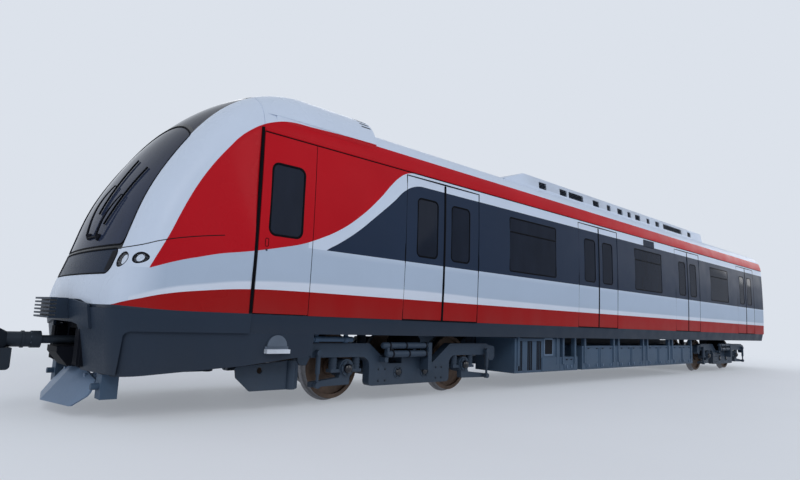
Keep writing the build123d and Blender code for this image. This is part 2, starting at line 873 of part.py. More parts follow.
def front_skirt():
    """Shell under the nose, deep round the corners, cut out over the side panels and the coupler."""
    shell = front_skirt_block(0, skirt_low_z, floor_z)
    shell -= front_skirt_block(skirt_thickness, skirt_low_z - 50, floor_z + 50)
    shell -= block(cab_joint_x - 10, cab_joint_x + fit_gap, -beyond, beyond, 0, floor_z + 1)
    length = skirt_rear_x - cab_joint_x + beyond
    recess = Pos(skirt_rear_x - length / 2, skirt_bottom_z - beyond / 2) * RectangleRounded(
        length, beyond, skirt_recess_corner)
    shell -= along_y(recess, -beyond, beyond)
    high = coupler_opening_high
    opening = make_face(Polyline((-coupler_opening_foot, 0), (-coupler_opening_half, high),
                                 (coupler_opening_half, high), (coupler_opening_foot, 0), close=True))
    opening = fillet(opening.vertices().sort_by(Axis.Y)[-2:], coupler_opening_corner)
    return shell - along_x(opening, cab_joint_x, nose_x + beyond)


def bumper_fill(thickness, trim):
    """The space inside the bumper's outer surface: plumb over the mask, leaning in over the skirt."""
    upper = plan_up(nose_plan(-thickness), cab_joint_x, floor_z, bumper_middle_high + trim)
    return upper + front_skirt_block(-thickness, bumper_end_low - trim, floor_z)


def bumper():
    """Bumper beam over the joint of mask and skirt, which narrows towards its ends."""
    ring = bumper_fill(bumper_thickness, 0) - bumper_fill(fit_gap, 10)
    front = Polyline((-bumper_half, bumper_end_low), (-bumper_middle_half, bumper_middle_low),
                     (bumper_middle_half, bumper_middle_low), (bumper_half, bumper_end_low),
                     (bumper_half, bumper_end_high), (bumper_middle_half, bumper_middle_high),
                     (-bumper_middle_half, bumper_middle_high), (-bumper_half, bumper_end_high), close=True)
    return ring & along_x(make_face(front), cab_joint_x, nose_x + beyond)


def anticlimber():
    """Ribbed block on the middle of the bumper."""
    def slab(reach, z0, z1):
        piece = plan_up(nose_plan(-reach), cab_joint_x, z0, z1) - bumper_fill(bumper_thickness + fit_gap, 50)
        return piece & block(skirt_rear_x, nose_x + beyond, -climber_half, climber_half, 0, beyond)
    low = climber_top_z - climber_rib - (climber_ribs - 1) * climber_pitch
    pieces = slab(climber_reach - 60, low, climber_top_z)
    for i in range(climber_ribs):
        z = low + i * climber_pitch
        pieces += slab(climber_reach, z, z + climber_rib)
    return pieces


def deflector():
    """Plough plate in two swept halves with cut corners, hung from the coupler's housing by two arms."""
    t = deflector_thickness
    low_z = deflector_low_z
    half = deflector_half
    face = make_face(Polyline((deflector_top_x - t, deflector_top_z), (deflector_top_x, deflector_top_z),
                              (deflector_low_x, low_z), (deflector_low_x - t, low_z), close=True))
    plate = extrude(Plane.XZ * face, half, dir=(-deflector_sweep, 1, 0))
    outline = make_face(Polyline((-1, low_z), (0.82 * half, low_z), (half, deflector_side_low_z),
                                 (0.86 * half, deflector_side_high_z), (0.35 * half, deflector_top_z),
                                 (-1, deflector_top_z), close=True))
    outline = fillet(outline.vertices().sort_by(Axis.X)[2:], deflector_corner)
    plate &= along_x(outline, deflector_top_x - beyond, deflector_low_x + beyond)
    pair = plate + mirror(plate, about=Plane.XZ)
    y = deflector_arm_y
    back = deflector_top_x - deflector_sweep * y
    y0 = y - deflector_arm_half
    y1 = y + deflector_arm_half
    middle = deflector_top_z - 70
    arm = block(back - deflector_arm_back, back - deflector_arm_gap, y0, y1, middle - 50, housing_low_z)
    foot = block(back - deflector_arm_gap - 1, back + 2 * deflector_arm_gap, y0, y1, middle - 30, middle + 30)
    arms = arm + foot
    return pair + arms + mirror(arms, about=Plane.XZ)


def coupler_housing():
    """Grooved housing in the skirt's opening, with a slot for the coupler and the support under it."""
    slot = block(housing_x0 - 1, housing_x1 + 1, -housing_slot_half, housing_slot_half,
                 coupler_z - housing_slot_height / 2, coupler_z + housing_slot_height / 2)
    piece = block(housing_x0, housing_x1, -housing_half, housing_half, housing_low_z, floor_under_z) - slot
    for i in range(-housing_grooves, housing_grooves + 1):
        y = i * housing_groove_pitch
        piece -= block(housing_x1 - housing_groove, housing_x1 + 1, y - housing_groove_width / 2,
                       y + housing_groove_width / 2, housing_low_z - 1, floor_under_z + 1)
    tip = housing_x1 + support_reach
    back = housing_x1 - support_reach / 2
    side = Polyline((back, support_top_z), (back, support_low_z), (tip - support_reach / 2, support_low_z),
                    (tip, support_top_z - support_lip), (tip, support_top_z), close=True)
    return piece + along_y(make_face(side), -support_half, support_half)


def cab_boxes():
    """Antenna boxes behind the deflector and an air pipe in front of the bogie, on both sides."""
    half = cab_box_size / 2
    x = cab_box_x
    y = cab_box_y
    top = skirt_low_z - cab_box_gap
    box = block(x - half, x + half, y - half, y + half, cab_box_low_z, top)
    box += block(x - cab_box_stem_half, x + cab_box_stem_half, y - cab_box_stem_half, y + cab_box_stem_half,
                 top - 1, floor_under_z)
    box += rod_x(x + half - 1, x + half + cab_box_plug_length, y, cab_box_plug_z, cab_box_plug_radius)
    pipe = rod_x(cab_pipe_x0, cab_pipe_x1, cab_pipe_y, cab_pipe_z, cab_pipe_radius)
    for hanger_x in (cab_pipe_x0 + cab_pipe_hanger_in, cab_pipe_x1 - cab_pipe_hanger_in):
        pipe += block(hanger_x - 25, hanger_x + 25, cab_pipe_y - 15, cab_pipe_y + 15, cab_pipe_z, floor_under_z)
        pipe += rod_x(hanger_x - cab_pipe_clamp_half, hanger_x + cab_pipe_clamp_half, cab_pipe_y, cab_pipe_z,
                      cab_pipe_radius + cab_pipe_clamp_wall)
    return both_sides(box) + both_sides(pipe)


def coupler_lugs(x, direction):
    """Anchor under the floor with two lugs and the pin through the coupler's eye."""
    top = coupler_z + coupler_eye_height / 2 + coupler_lug_gap
    low = coupler_z - coupler_eye_height / 2 - coupler_lug_gap
    back = x - direction * anchor_back
    front = x - direction * anchor_front
    x0, x1 = sorted((back, front))
    anchor = block(x0, x1, -anchor_half, anchor_half, low - coupler_lug_thickness, floor_under_z)
    for z in (top, low - coupler_lug_thickness):
        a, b = sorted((front - direction, x))
        lug = block(a, b, -coupler_eye_radius, coupler_eye_radius, z, z + coupler_lug_thickness)
        anchor += lug + rod_z(x, 0, z, z + coupler_lug_thickness, coupler_eye_radius)
    return anchor + rod_z(x, 0, low - coupler_lug_thickness, top + coupler_lug_thickness, coupler_pin_radius)


def coupler_eye(x):
    """Eye of a coupler, with the bore for the anchor's pin."""
    half = coupler_eye_height / 2
    return rod_z(x, 0, coupler_z - half, coupler_z + half, coupler_eye_radius)


def coupler_bore(x):
    """The pin's running bore through an eye."""
    return rod_z(x, 0, coupler_z - 200, coupler_z + 200, coupler_pin_radius + 0.1)


def front_coupler():
    """Automatic coupler: eye, shank, collar, damper body, head with horn and cup, electric box below."""
    x = front_coupler_pivot_x
    face = front_coupler_face_x
    collar = face - coupler_collar_offset
    piece = coupler_eye(x) + rod_x(x, collar + 10, 0, coupler_z, coupler_shank_radius)
    piece += rod_x(collar, collar + coupler_collar_length, 0, coupler_z, coupler_collar_radius)
    neck_x = face - coupler_neck_back
    piece += rod_x(collar + coupler_collar_length - 1, neck_x + 40, 0, coupler_z, coupler_body_radius)
    ring_x = collar + coupler_ring_offset
    piece += rod_x(ring_x, ring_x + coupler_ring_length, 0, coupler_z, coupler_collar_radius)
    head_x = face - coupler_head_back
    plate_x = face - coupler_plate
    head = Pos(0, coupler_z) * RectangleRounded(coupler_head_width, coupler_head_height, 30)
    neck = Pos(0, coupler_z) * RectangleRounded(coupler_neck_width, coupler_neck_height, 30)
    piece += loft([Plane.YZ.offset(neck_x) * neck, Plane.YZ.offset(head_x) * head])
    piece += along_x(head, head_x - 1, plate_x)
    piece += along_x(Pos(0, coupler_z) * RectangleRounded(coupler_face_width, coupler_face_height, 40),
                     plate_x, face)
    low = coupler_z - coupler_face_height / 2 - coupler_box_drop
    box_x = plate_x - fit_gap
    box = block(box_x - coupler_box_length, box_x, -coupler_box_half, coupler_box_half, low,
                coupler_z - coupler_neck_height / 2)
    piece += fillet(box.edges().filter_by(Axis.Y).group_by(Axis.Z)[0], coupler_box_corner)
    horn = Pos(face + coupler_horn_reach / 2 - 1, coupler_horn_y, coupler_z) * Rot(0, 90, 0) * Cone(
        coupler_horn_radius, coupler_horn_tip, coupler_horn_reach + 2)
    cup = Pos(face + 1 - coupler_cup_depth / 2, -coupler_horn_y, coupler_z) * Rot(0, 90, 0) * Cone(
        coupler_cup_foot, coupler_cup_radius, coupler_cup_depth + 2)
    return piece + horn - cup - coupler_bore(x)


def rear_coupler():
    """Semi-permanent drawbar with its bolted flange."""
    x = rear_coupler_pivot_x
    end = rear_coupler_end_x
    flange = end + rear_flange_width
    piece = coupler_eye(x) + rod_x(flange - 5, x, 0, coupler_z, drawbar_radius)
    piece += rod_x(end, flange, 0, coupler_z, rear_flange_radius)
    for i in range(rear_bolt_count):
        angle = math.radians(45 + 360 / rear_bolt_count * i)
        y = rear_bolt_circle / 2 * math.cos(angle)
        z = coupler_z + rear_bolt_circle / 2 * math.sin(angle)
        piece -= rod_x(end - 1, flange + 1, y, z, rear_bolt_radius)
    return piece - coupler_bore(x)


def wheelset(x):
    """Axle, wheels, brake discs and journals turned as one piece."""
    a = axle_radius
    back = wheel_back_spacing / 2
    front = back + flange_width + tread_width
    rim = wheel_radius - wheel_rim_depth
    web0 = (back + front - wheel_web_width) / 2
    web1 = web0 + wheel_web_width
    hub0 = (back + front - wheel_hub_width) / 2
    hub1 = hub0 + wheel_hub_width
    flange = wheel_radius + flange_depth
    disc0 = brake_disc_offset - brake_disc_width / 2
    disc1 = brake_disc_offset + brake_disc_width / 2
    journal = journal_inner_y + journal_length
    root = back + flange_width
    shoulder = journal_inner_y - 20
    half = [(a, 0), (a, disc0), (brake_disc_radius, disc0), (brake_disc_radius, disc1), (a, disc1), (a, hub0),
            (wheel_hub_radius, hub0), (wheel_hub_radius, web0), (rim, web0), (rim, back),
            (flange - 10, back), (flange, back + 9), (flange, back + 19), (wheel_radius + 6, root),
            (wheel_radius, root + 12), (wheel_radius - tread_taper, front - 8),
            (wheel_radius - tread_taper - 8, front), (rim, front), (rim, web1), (wheel_hub_radius, web1),
            (wheel_hub_radius, hub1), (a, hub1), (a, shoulder), (journal_radius, shoulder),
            (journal_radius, journal)]
    outline = half + [(0, journal), (0, -journal)] + [(r, -y) for r, y in reversed(half[1:])]
    turned = revolve(make_face(Polyline(*outline, close=True)), Axis.Y)
    return Pos(x, 0, wheel_radius) * turned


def rounded(face, x, z, radius):
    """A side view with its corner nearest to a point rounded."""
    corner = face.vertices().sort_by_distance((x, z, 0))[0]
    return fillet([corner], radius)


def side_frame_face():
    """Side view of a bogie's side frame: low in the middle, raised and open over the axle boxes."""
    axle = wheelbase / 2
    inner = axle - arch_half_width
    shoulder = axle - shoulder_offset
    waist = axle - waist_offset
    end = side_frame_end
    top = side_frame_top
    half = make_face(Polyline((0, side_frame_low), (inner, side_frame_low), (inner, arch_top_z),
                              (end, arch_top_z), (end, top), (shoulder, top), (waist, side_frame_mid),
                              (0, side_frame_mid), close=True))
    half = rounded(half, inner, arch_top_z, arch_corner)
    for x, z in ((inner, side_frame_low), (end, top), (shoulder, top), (waist, side_frame_mid)):
        half = rounded(half, x, z, side_frame_corner)
    return half + mirror(half, about=Plane.YZ)


def end_bracket():
    """Bracket on the front end of a side frame."""
    x0 = side_frame_end - 2
    x1 = side_frame_end + end_bracket_length
    top = side_frame_top - end_bracket_drop
    tip = top - end_bracket_slope
    cut = end_bracket_cut
    side = make_face(Polyline((x0, top), (x1, tip), (x1, end_bracket_low + cut), (x1 - cut, end_bracket_low),
                              (x0 + cut, end_bracket_low), (x0, arch_top_z), close=True))
    side = rounded(side, x1, tip, side_frame_corner)
    return along_y(side, frame_inner_y + end_bracket_set_in, frame_outer_y - end_bracket_set_in)


def axle_guard():
    """Guard plate in front of the leading axle, on its upright post."""
    rear = side_frame_end + end_bracket_length - end_bracket_cut / 2
    front = rear + guard_length
    plate = make_face(Polyline((rear, guard_top_z), (rear, guard_low_z), (front - guard_nose_cut, guard_low_z),
                               (front - guard_corner, guard_nose_low_z), (front, guard_nose_high_z), close=True))
    guard = along_y(fillet(plate.vertices(), guard_corner), guard_y, guard_y + guard_thickness)
    guard += rod_z(rear + guard_post_x, guard_y + guard_thickness / 2, guard_low_z, guard_post_top_z,
                   guard_post_radius)
    return guard - rod_y(front - guard_hole_back, guard_hole_z, guard_hole_radius, 0, beyond)


def brake_caliper():
    """Calliper from the front transom tube to the left brake disc."""
    axle = wheelbase / 2
    y = brake_disc_offset
    jaw = brake_disc_width / 2 + caliper_gap
    piece = block(transom_offset + transom_radius - 30, axle - brake_disc_radius - 50, y - caliper_half,
                  y + caliper_half, caliper_low, caliper_high)
    for a, b in ((jaw, caliper_half), (-caliper_half, -jaw)):
        piece += block(axle - brake_disc_radius - 70, axle - brake_disc_radius + 90, y + a, y + b,
                       caliper_low - 30, caliper_high + 10)
    return piece


def bogie_frame(x, with_guard):
    """H frame: two side frames, two transom tubes and the pivot block with its bore."""
    y0 = frame_inner_y
    y1 = frame_outer_y
    side = along_y(side_frame_face(), y0, y1) + end_bracket() + mirror(end_bracket(), about=Plane.YZ)
    seat = air_spring_seat_half
    side += block(-seat, seat, air_spring_y - 140, y0 + 1, transom_z, air_spring_seat_z)
    side += block(-seat, seat, y0, y1, side_frame_mid - 1, air_spring_seat_z)
    for dx in (-1, 1):
        ring = rod_y(dx * transom_offset, transom_z, transom_ring_radius, y1 - 1, y1 + transom_ring_proud)
        side += ring - rod_y(dx * transom_offset, transom_z, transom_ring_radius - transom_ring_width, y1 - 2,
                             y1 + transom_ring_proud + 1)
        side += rod_y(dx * post_damper_x, post_damper_high_z, post_damper_eye - 12, y1 - 1,
                      y1 + post_damper_gap - fit_gap)
        side += brake_caliper() if dx > 0 else mirror(brake_caliper(), about=Plane.YZ)
    end = damper_x0 - fit_gap
    side += block(end - damper_plate, end, y1 - 1, y1 + 20, damper_foot_low_z, damper_foot_high_z)
    side += block(end - damper_plate, end, y1 + 10, damper_y + damper_low_radius, damper_foot_low_z,
                  damper_high_z + damper_high_radius)
    under_damper = damper_low_z - damper_low_radius
    side += block(damper_clamp_x - damper_clamp_half, damper_clamp_x + damper_clamp_half, y1 - 1, damper_y,
                  under_damper - 2 * damper_clamp_half, under_damper)
    if with_guard:
        side += axle_guard()
    frame = side + mirror(side, about=Plane.XZ)
    for dx in (-1, 1):
        frame += rod_y(dx * transom_offset, transom_z, transom_radius, -y0 - 1, y0 + 1)
    half_height = pivot_block_height / 2
    frame += block(-transom_offset, transom_offset, -pivot_block_half, pivot_block_half,
                   transom_z - half_height, transom_z + half_height)
    frame -= rod_z(0, 0, transom_z - beyond, transom_z + beyond, pivot_pin_radius + pivot_clearance)
    return Pos(x, 0, 0) * frame


def axle_boxes(x):
    """Axle boxes with two rubber springs each and the arm that carries the upright damper."""
    y0 = journal_inner_y
    y1 = frame_outer_y - 15
    axle = wheelbase / 2
    spring_top = arch_top_z - fit_gap
    box = rod_y(axle, wheel_radius, axle_box_radius, y0, y1)
    box += rod_y(axle, wheel_radius, axle_cap_radius, y1 - 1, y1 + axle_cap_depth)
    box += block(axle - wing_half, axle + wing_half, side_frame_y - 60, side_frame_y + 45, wing_low,
                 wing_high)
    for spring_x in (axle - primary_offset, axle + primary_offset):
        box += rod_z(spring_x, side_frame_y - 5, wing_high - 1, spring_top, primary_radius)
        for share in (0.25, 0.5, 0.75):
            z = wing_high + (spring_top - wing_high) * share
            box += rod_z(spring_x, side_frame_y - 5, z - 6, z + 6, primary_radius + 7)
    tip = post_damper_x + post_damper_eye
    low = post_damper_low_z - axle_arm_half
    high = post_damper_low_z + axle_arm_half
    arm = Polyline((axle - journal_radius, wheel_radius - axle_box_radius / 2), (axle - 50, low + 10), (tip, low),
                   (tip, high), (axle + axle_box_radius, high + 40), (axle + journal_radius, wheel_radius),
                   close=True)
    box += along_y(make_face(arm), side_frame_y - 40, side_frame_y + 45)
    box += rod_y(post_damper_x, post_damper_low_z, post_damper_eye - 10, side_frame_y,
                 frame_outer_y + post_damper_gap - fit_gap)
    box -= rod_y(axle, wheel_radius, journal_radius + journal_clearance, y0 - 1,
                 journal_inner_y + journal_length + 1)
    pieces = []
    for item in (box, mirror(box, about=Plane.YZ)):
        pieces += both_sides(Pos(x, 0, 0) * item)
    return pieces


def air_springs(x):
    """Air springs between the side frames and the bolster, on both sides."""
    z0 = air_spring_seat_z + fit_gap
    z1 = bolster_z - spring_seat_gap
    r = air_spring_radius
    bulge = (z0 + z1) / 2 + 25
    outline = Polyline((0, z0), (r * 0.55, z0), (r * 0.6, bulge - 90), (r * 0.93, bulge - 70))
    outline += ThreePointArc((r * 0.93, bulge - 70), (r, bulge), (r * 0.93, bulge + 70))
    outline += Polyline((r * 0.93, bulge + 70), (r * 0.85, z1 - 25), (r * 0.85, z1), (0, z1), (0, z0))
    spring = revolve(Plane.XZ * make_face(outline), Axis.Z)
    return both_sides(Pos(x, air_spring_y, 0) * spring)


def dampers(x):
    """Two long tubes outside each side frame, and an upright damper in front of and behind the axle boxes."""
    low = rod_x(damper_x0, damper_x1 - damper_short, damper_y, damper_low_z, damper_low_radius)
    high = rod_x(damper_x0, damper_x1, damper_y, damper_high_z, damper_high_radius)
    low = fillet(low.edges().sort_by(Axis.X)[-1:], damper_low_radius * 0.6)
    high = fillet(high.edges().sort_by(Axis.X)[-1:], damper_high_radius * 0.8)
    clamp = block(damper_clamp_x - 20, damper_clamp_x + 20, damper_y - damper_clamp_half,
                  damper_y + damper_clamp_half, damper_low_z, damper_high_z)
    pieces = both_sides(Pos(x, 0, 0) * (low + high + clamp))
    y = frame_outer_y + post_damper_gap
    middle = (post_damper_low_z + post_damper_high_z) / 2
    for dx in (-post_damper_x, post_damper_x):
        post_y = y + post_damper_width / 2
        post = rod_z(dx, post_y, middle - 60, post_damper_high_z, post_damper_radius)
        post += rod_z(dx, post_y, post_damper_low_z, middle, post_damper_radius * 0.6)
        for z in (post_damper_low_z, post_damper_high_z):
            post += rod_y(dx, z, post_damper_eye, y, y + post_damper_width)
        pieces += both_sides(Pos(x, 0, 0) * post)
    return pieces


def underfloor_boxes():
    """Equipment boxes under the floor, with slotted fronts and hangers."""
    pieces = []
    for x1, length, low, top, slots in underfloor_table:
        box = block(x1 - length, x1, underfloor_inner_y, underfloor_outer_y, low, top)
        for i in range(slots):
            slot_x = x1 - slot_first - i * slot_pitch
            box -= block(slot_x - slot_half, slot_x + slot_half, underfloor_outer_y - slot_depth,
                         underfloor_outer_y + 1, low + slot_margin, top - slot_margin)
        for hanger_x in (x1 - length + hanger_margin, x1 - hanger_margin - hanger_width):
            box += block(hanger_x, hanger_x + hanger_width, underfloor_outer_y - hanger_width,
                         underfloor_outer_y + hanger_proud, low + hanger_low, floor_under_z)
        pieces += both_sides(box)
    return pieces


def air_reservoirs():
    """Compressed air reservoirs across the middle of the floor, with their straps."""
    pieces = []
    for x in reservoir_xs:
        tank = rod_x(x - reservoir_length / 2, x + reservoir_length / 2, 0, reservoir_z, reservoir_radius)
        tank = fillet(tank.edges().filter_by(GeomType.CIRCLE), reservoir_corner)
        for way in (-1, 1):
            strap_x = x + way * strap_share * reservoir_length
            x0 = strap_x - strap_half
            x1 = strap_x + strap_half
            tank += rod_x(x0, x1, 0, reservoir_z, reservoir_radius + strap_thickness)
            tank += block(x0, x1, -reservoir_radius / 2, reservoir_radius / 2, reservoir_z + reservoir_radius / 2,
                          floor_under_z)
        pieces.append(tank)
    return pieces


def roof_fairing():
    """Raised fairing over the air conditioners, with a long front ramp and vents in its flanks."""
    half = [(0, fairing_top_z), (fairing_shoulder_y, fairing_shoulder_z), (fairing_edge_y, fairing_edge_z),
            (fairing_foot_y, cantrail_z + 250), (0, cantrail_z + 250)]
    body = along_x(make_face(Polyline(*half, close=True)), fairing_x0, fairing_x1)
    body = body + mirror(body, about=Plane.XZ)
    top = fairing_top_z + 5
    side = Polyline((fairing_x0, cantrail_z), (fairing_x1, cantrail_z), (fairing_x1, fairing_edge_z - 200),
                    (fairing_x1 - fairing_ramp, top), (fairing_x0 + fairing_rear_ramp, top),
                    (fairing_x0, fairing_edge_z - 200), close=True)
    body &= along_y(make_face(side), -beyond, beyond)
    for middle, length in vent_table:
        vent = block(middle - length / 2, middle + length / 2, fairing_edge_y - vent_depth, beyond,
                     vent_low_z, vent_high_z)
        for cut in both_sides(vent):
            body -= cut
    return body - body_fill(fit_gap, fairing_x0 - 1, fairing_x1 + 1)


def bench():
    """One longitudinal bench on the left wall: back, seat and front rail."""
    y = inner_wall_y - fit_gap
    front = y - bench_depth
    outline = Polyline((y, bench_low_z), (y, bench_back_z), (y - bench_back_head, bench_back_z),
                       (y - bench_back_foot, bench_seat_z), (front + bench_nose, bench_seat_z),
                       (front, bench_front_z), (front + bench_nose, bench_low_z), close=True)
    return along_x(make_face(outline), -bench_length / 2, bench_length / 2)


def grab_poles():
    """Upright poles beside the doors, from floor to ceiling."""
    pieces = []
    for x in door_xs:
        for dx in (-1, 1):
            pieces += both_sides(rod_z(x + dx * pole_offset, pole_y, floor_z, ceiling_z, pole_radius))
    return pieces


def cab_partition():
    """Wall between cab and saloon, with its door outline let in."""
    wall = block(partition_x - partition_thickness, partition_x, -inner_wall_y + fit_gap,
                 inner_wall_y - fit_gap, floor_z, ceiling_z)
    groove = partition_groove
    rear_x = partition_x - partition_thickness
    low = floor_z + partition_door_low
    high = low + partition_door_height
    corner = partition_door_corner
    frame = across_section(partition_door_width, low, high, corner)
    inner = across_section(partition_door_width - 2 * groove, low + groove, high - groove, corner - groove)
    for x0, x1 in ((partition_x - groove, partition_x + 1), (rear_x - 1, rear_x + groove)):
        wall -= along_x(frame, x0, x1) - along_x(inner, x0, x1)
    return wall


def driver_desk():
    """Console across the cab under the windscreen."""
    side = Polyline((desk_x1, floor_z), (desk_x1, floor_z + 640), (desk_x0 + 160, floor_z + 760),
                    (desk_x0, floor_z + 700), (desk_x0 + 30, floor_z + 640), (desk_x0 + 220, floor_z + 560),
                    (desk_x0 + 260, floor_z), close=True)
    return along_y(make_face(side), -desk_half, desk_half)


def driver_seat():
    """Driver's seat on its pedestal."""
    x = seat_x
    piece = rod_z(x, 0, floor_z, floor_z + 40, 200) + rod_z(x, 0, floor_z + 39, floor_z + 400, 60)
    cushion = Polyline((x - 260, floor_z + 380), (x + 250, floor_z + 400), (x + 250, floor_z + 500),
                       (x - 180, floor_z + 490), (x - 290, floor_z + 1250), (x - 370, floor_z + 1250),
                       close=True)
    return piece + along_y(fillet(make_face(cushion).vertices(), 30), -240, 240)


def cab_steps():
    """Step below each driver's door: a half-round housing over a bright tread."""
    y0 = panel_y(step_z) - panel_recess
    y1 = panel_y(step_z) + panel_thickness
    housing = rod_y(step_x, step_z, step_radius, y0, y1) & block(
        step_x - step_radius, step_x + step_radius, y0, y1, step_z, step_z + step_radius)
    housing += block(step_x - step_half, step_x + step_half, y0, y1 - 10, step_tread_high - 1, step_z + 1)
    tread = block(step_x - step_half, step_x + step_half, y0, panel_y(step_z) + step_reach, step_tread_low,
                  step_tread_high)
    return both_sides(housing + tread - panel_fill(-fit_gap, 0))


def panel_y(z):
    """Half width of the side panels' outer surface behind the cab joint."""
    return side_y(floor_z) - skirt_narrow * (floor_z - z) / (floor_z - skirt_low_z) - panel_recess


def panel_fill(inset, trim):
    """The space between the side panels, out to a surface inset inside their outer one."""
    low = skirt_low_z - 50 - trim
    high = skirt_bottom_z - fit_gap + trim
    a = panel_y(low) - inset
    b = panel_y(high) - inset
    section = make_face(Polyline((-a, low), (a, low), (b, high), (-b, high), close=True))
    nose = front_skirt_block(panel_recess + inset, low, high)
    nose &= block(cab_joint_x, nose_x + beyond, -beyond, beyond, low, high)
    return along_x(section, panel_rear_x - trim, cab_joint_x) + nose


def side_panels():
    """Recessed panels under the sills of the cab, which follow the corners of the skirt."""
    ring = panel_fill(0, 0) - panel_fill(panel_thickness, 10)
    side = Polyline(*panel_low_edge, (skirt_rear_x - fit_gap, skirt_bottom_z), (panel_rear_x, skirt_bottom_z),
                    close=True)
    return [ring & along_y(make_face(side), -beyond, beyond)]


def roof_antennas():
    """Two low antennas on the dome."""
    pieces = []
    for x in antenna_xs:
        outline = Ellipse(antenna_base_length, antenna_base_half)
        base = Pos(x, 0, dome_top_z + fit_gap) * extrude(outline, antenna_base_height)
        foot = dome_top_z + antenna_base_height - 1
        top = dome_top_z + antenna_height
        fin = Polyline((x - 90, foot), (x + 100, foot), (x + 20, top), (x - 70, top), close=True)
        pieces.append(base + along_y(make_face(fin), -antenna_half, antenna_half))
    return pieces


def dome():
    """Raised fairing behind the nose, closed by its rear wall."""
    section = nose_section(dome_row, 0)
    inner = nose_section(dome_row, mask_thickness)
    shell = extrude(section, fan_x - dome_rear_x, dir=(-1, 0, 0))
    shell -= extrude(inner, fan_x - dome_rear_x - mask_thickness, dir=(-1, 0, 0))
    shell &= block(dome_rear_x - 1, fan_x + 1, -1500, 1500, dome_edge_z, dome_top_z + 10)
    return shell - body_fill(fit_gap, dome_rear_x - 10, fan_x + 10)


def cab_mask():
    """Moulded nose with openings for glass, panels and lamps."""
    mask = nose_skin(0, mask_thickness)
    mask -= body_fill(fit_gap, fan_x - 50, cab_joint_x) - roof_notch(fit_gap)
    mask -= block(fan_x - 50, cab_joint_x, -1600, 1600, 0, dome_edge_z)
    mask -= nose_cut(windscreen_face, cab_joint_x + 40)
    mask -= nose_cut(lower_panel_face, cab_joint_x + 40)
    mask -= display_prism(0)
    for prism in lamp_prisms(0):
        mask -= prism
    return mask


save("underframe", underframe())
for node, wall in zip(("side_wall_left", "side_wall_right"), both_sides(side_wall())):
    save(node, wall)
save("roof", roof())
save("rear_end_wall", rear_end_wall())
save("gangway_bellows", gangway())
save("gangway_frame", gangway_frame())
save("side_windows", *side_windows())
leaves = at_doors(door_leaf())
save("passenger_doors_left", *leaves)
save("passenger_doors_right", *[mirror(leaf, about=Plane.XZ) for leaf in leaves])
panes = at_doors(door_pane())
save("door_windows_left", *panes)
save("door_windows_right", *[mirror(pane, about=Plane.XZ) for pane in panes])
save("door_seals", *door_seals())
for side, door in zip(("left", "right"), both_sides(cab_door())):
    save("cab_door_" + side, door)
for side, pane in zip(("left", "right"), both_sides(cab_door_pane())):
    save("cab_door_glass_" + side, pane)
save("cab_door_hinges", *both_sides(cab_door_hinges()))

save("cab_mask", cab_mask())
save("cab_dome", dome())
glass = nose_skin(glass_inset, glass_inset + nose_glass_thickness)
save("windscreen", glass & nose_cut(windscreen_face, cab_joint_x + 40, -fit_gap))
save("lower_front_panel", glass & nose_cut(lower_panel_face, cab_joint_x + 40, -fit_gap))
save("display_panel", glass & display_prism(fit_gap))
lamp_skin = nose_skin(lamp_inset, lamp_inset + lamp_depth)
save("headlamps", *[lamp_skin & prism for prism in lamp_prisms(fit_gap)])
save("front_skirt", front_skirt())
save("bumper", bumper())
save("anticlimber", anticlimber())
save("obstacle_deflector", deflector())
save("cab_side_panels", *side_panels())
save("cab_steps", *cab_steps())

save("coupler_housing", coupler_housing())
save("under_cab_boxes", *cab_boxes())
save("coupler_anchors", coupler_lugs(front_coupler_pivot_x, 1), coupler_lugs(rear_coupler_pivot_x, -1))
save("coupler_front", front_coupler())
save("coupler_rear", rear_coupler())
for i, (node, x) in enumerate(zip(("front", "rear"), bogie_xs)):
    save("bogie_frame_" + node, bogie_frame(x, node == "front"))
    save("axle_boxes_" + node, *axle_boxes(x))
    save("air_springs_" + node, *air_springs(x))
    save("dampers_" + node, *dampers(x))
    for j, dx in enumerate((1, -1)):
        save("wheelset_" + str(2 * i + j + 1), wheelset(x + dx * wheelbase / 2))

save("underfloor_boxes", *underfloor_boxes())
save("air_reservoirs", *air_reservoirs())
save("roof_fairing", roof_fairing())
save("roof_antennas", *roof_antennas())
save("passenger_seats", *[item for x in window_xs for item in both_sides(Pos(x, 0, 0) * bench())])
save("grab_poles", *grab_poles())
save("cab_partition", cab_partition())
save("driver_desk", driver_desk())
save("driver_seat", driver_seat())
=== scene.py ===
import json
import math
from functools import reduce

import bmesh
import bpy
from mathutils import Matrix, Vector
from mathutils.bvhtree import BVHTree


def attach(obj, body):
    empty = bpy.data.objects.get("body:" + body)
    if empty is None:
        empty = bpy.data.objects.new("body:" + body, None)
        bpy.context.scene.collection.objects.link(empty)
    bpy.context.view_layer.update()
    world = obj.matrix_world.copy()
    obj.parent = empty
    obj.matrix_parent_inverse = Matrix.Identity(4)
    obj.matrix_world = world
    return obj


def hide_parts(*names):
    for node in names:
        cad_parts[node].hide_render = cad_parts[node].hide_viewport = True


# Looks of the light rail car. Everything is in metres in the frame of the CAD model:
# x forward to the nose, y to the left side, z up from the floor.

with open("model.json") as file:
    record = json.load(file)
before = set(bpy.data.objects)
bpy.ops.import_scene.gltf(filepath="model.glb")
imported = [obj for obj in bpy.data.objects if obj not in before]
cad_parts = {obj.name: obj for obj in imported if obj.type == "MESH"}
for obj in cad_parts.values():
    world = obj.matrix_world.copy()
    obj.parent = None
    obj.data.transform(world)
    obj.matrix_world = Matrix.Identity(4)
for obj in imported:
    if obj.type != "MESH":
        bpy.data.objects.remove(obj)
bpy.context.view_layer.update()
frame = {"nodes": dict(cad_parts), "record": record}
cad_nodes = frame["nodes"]

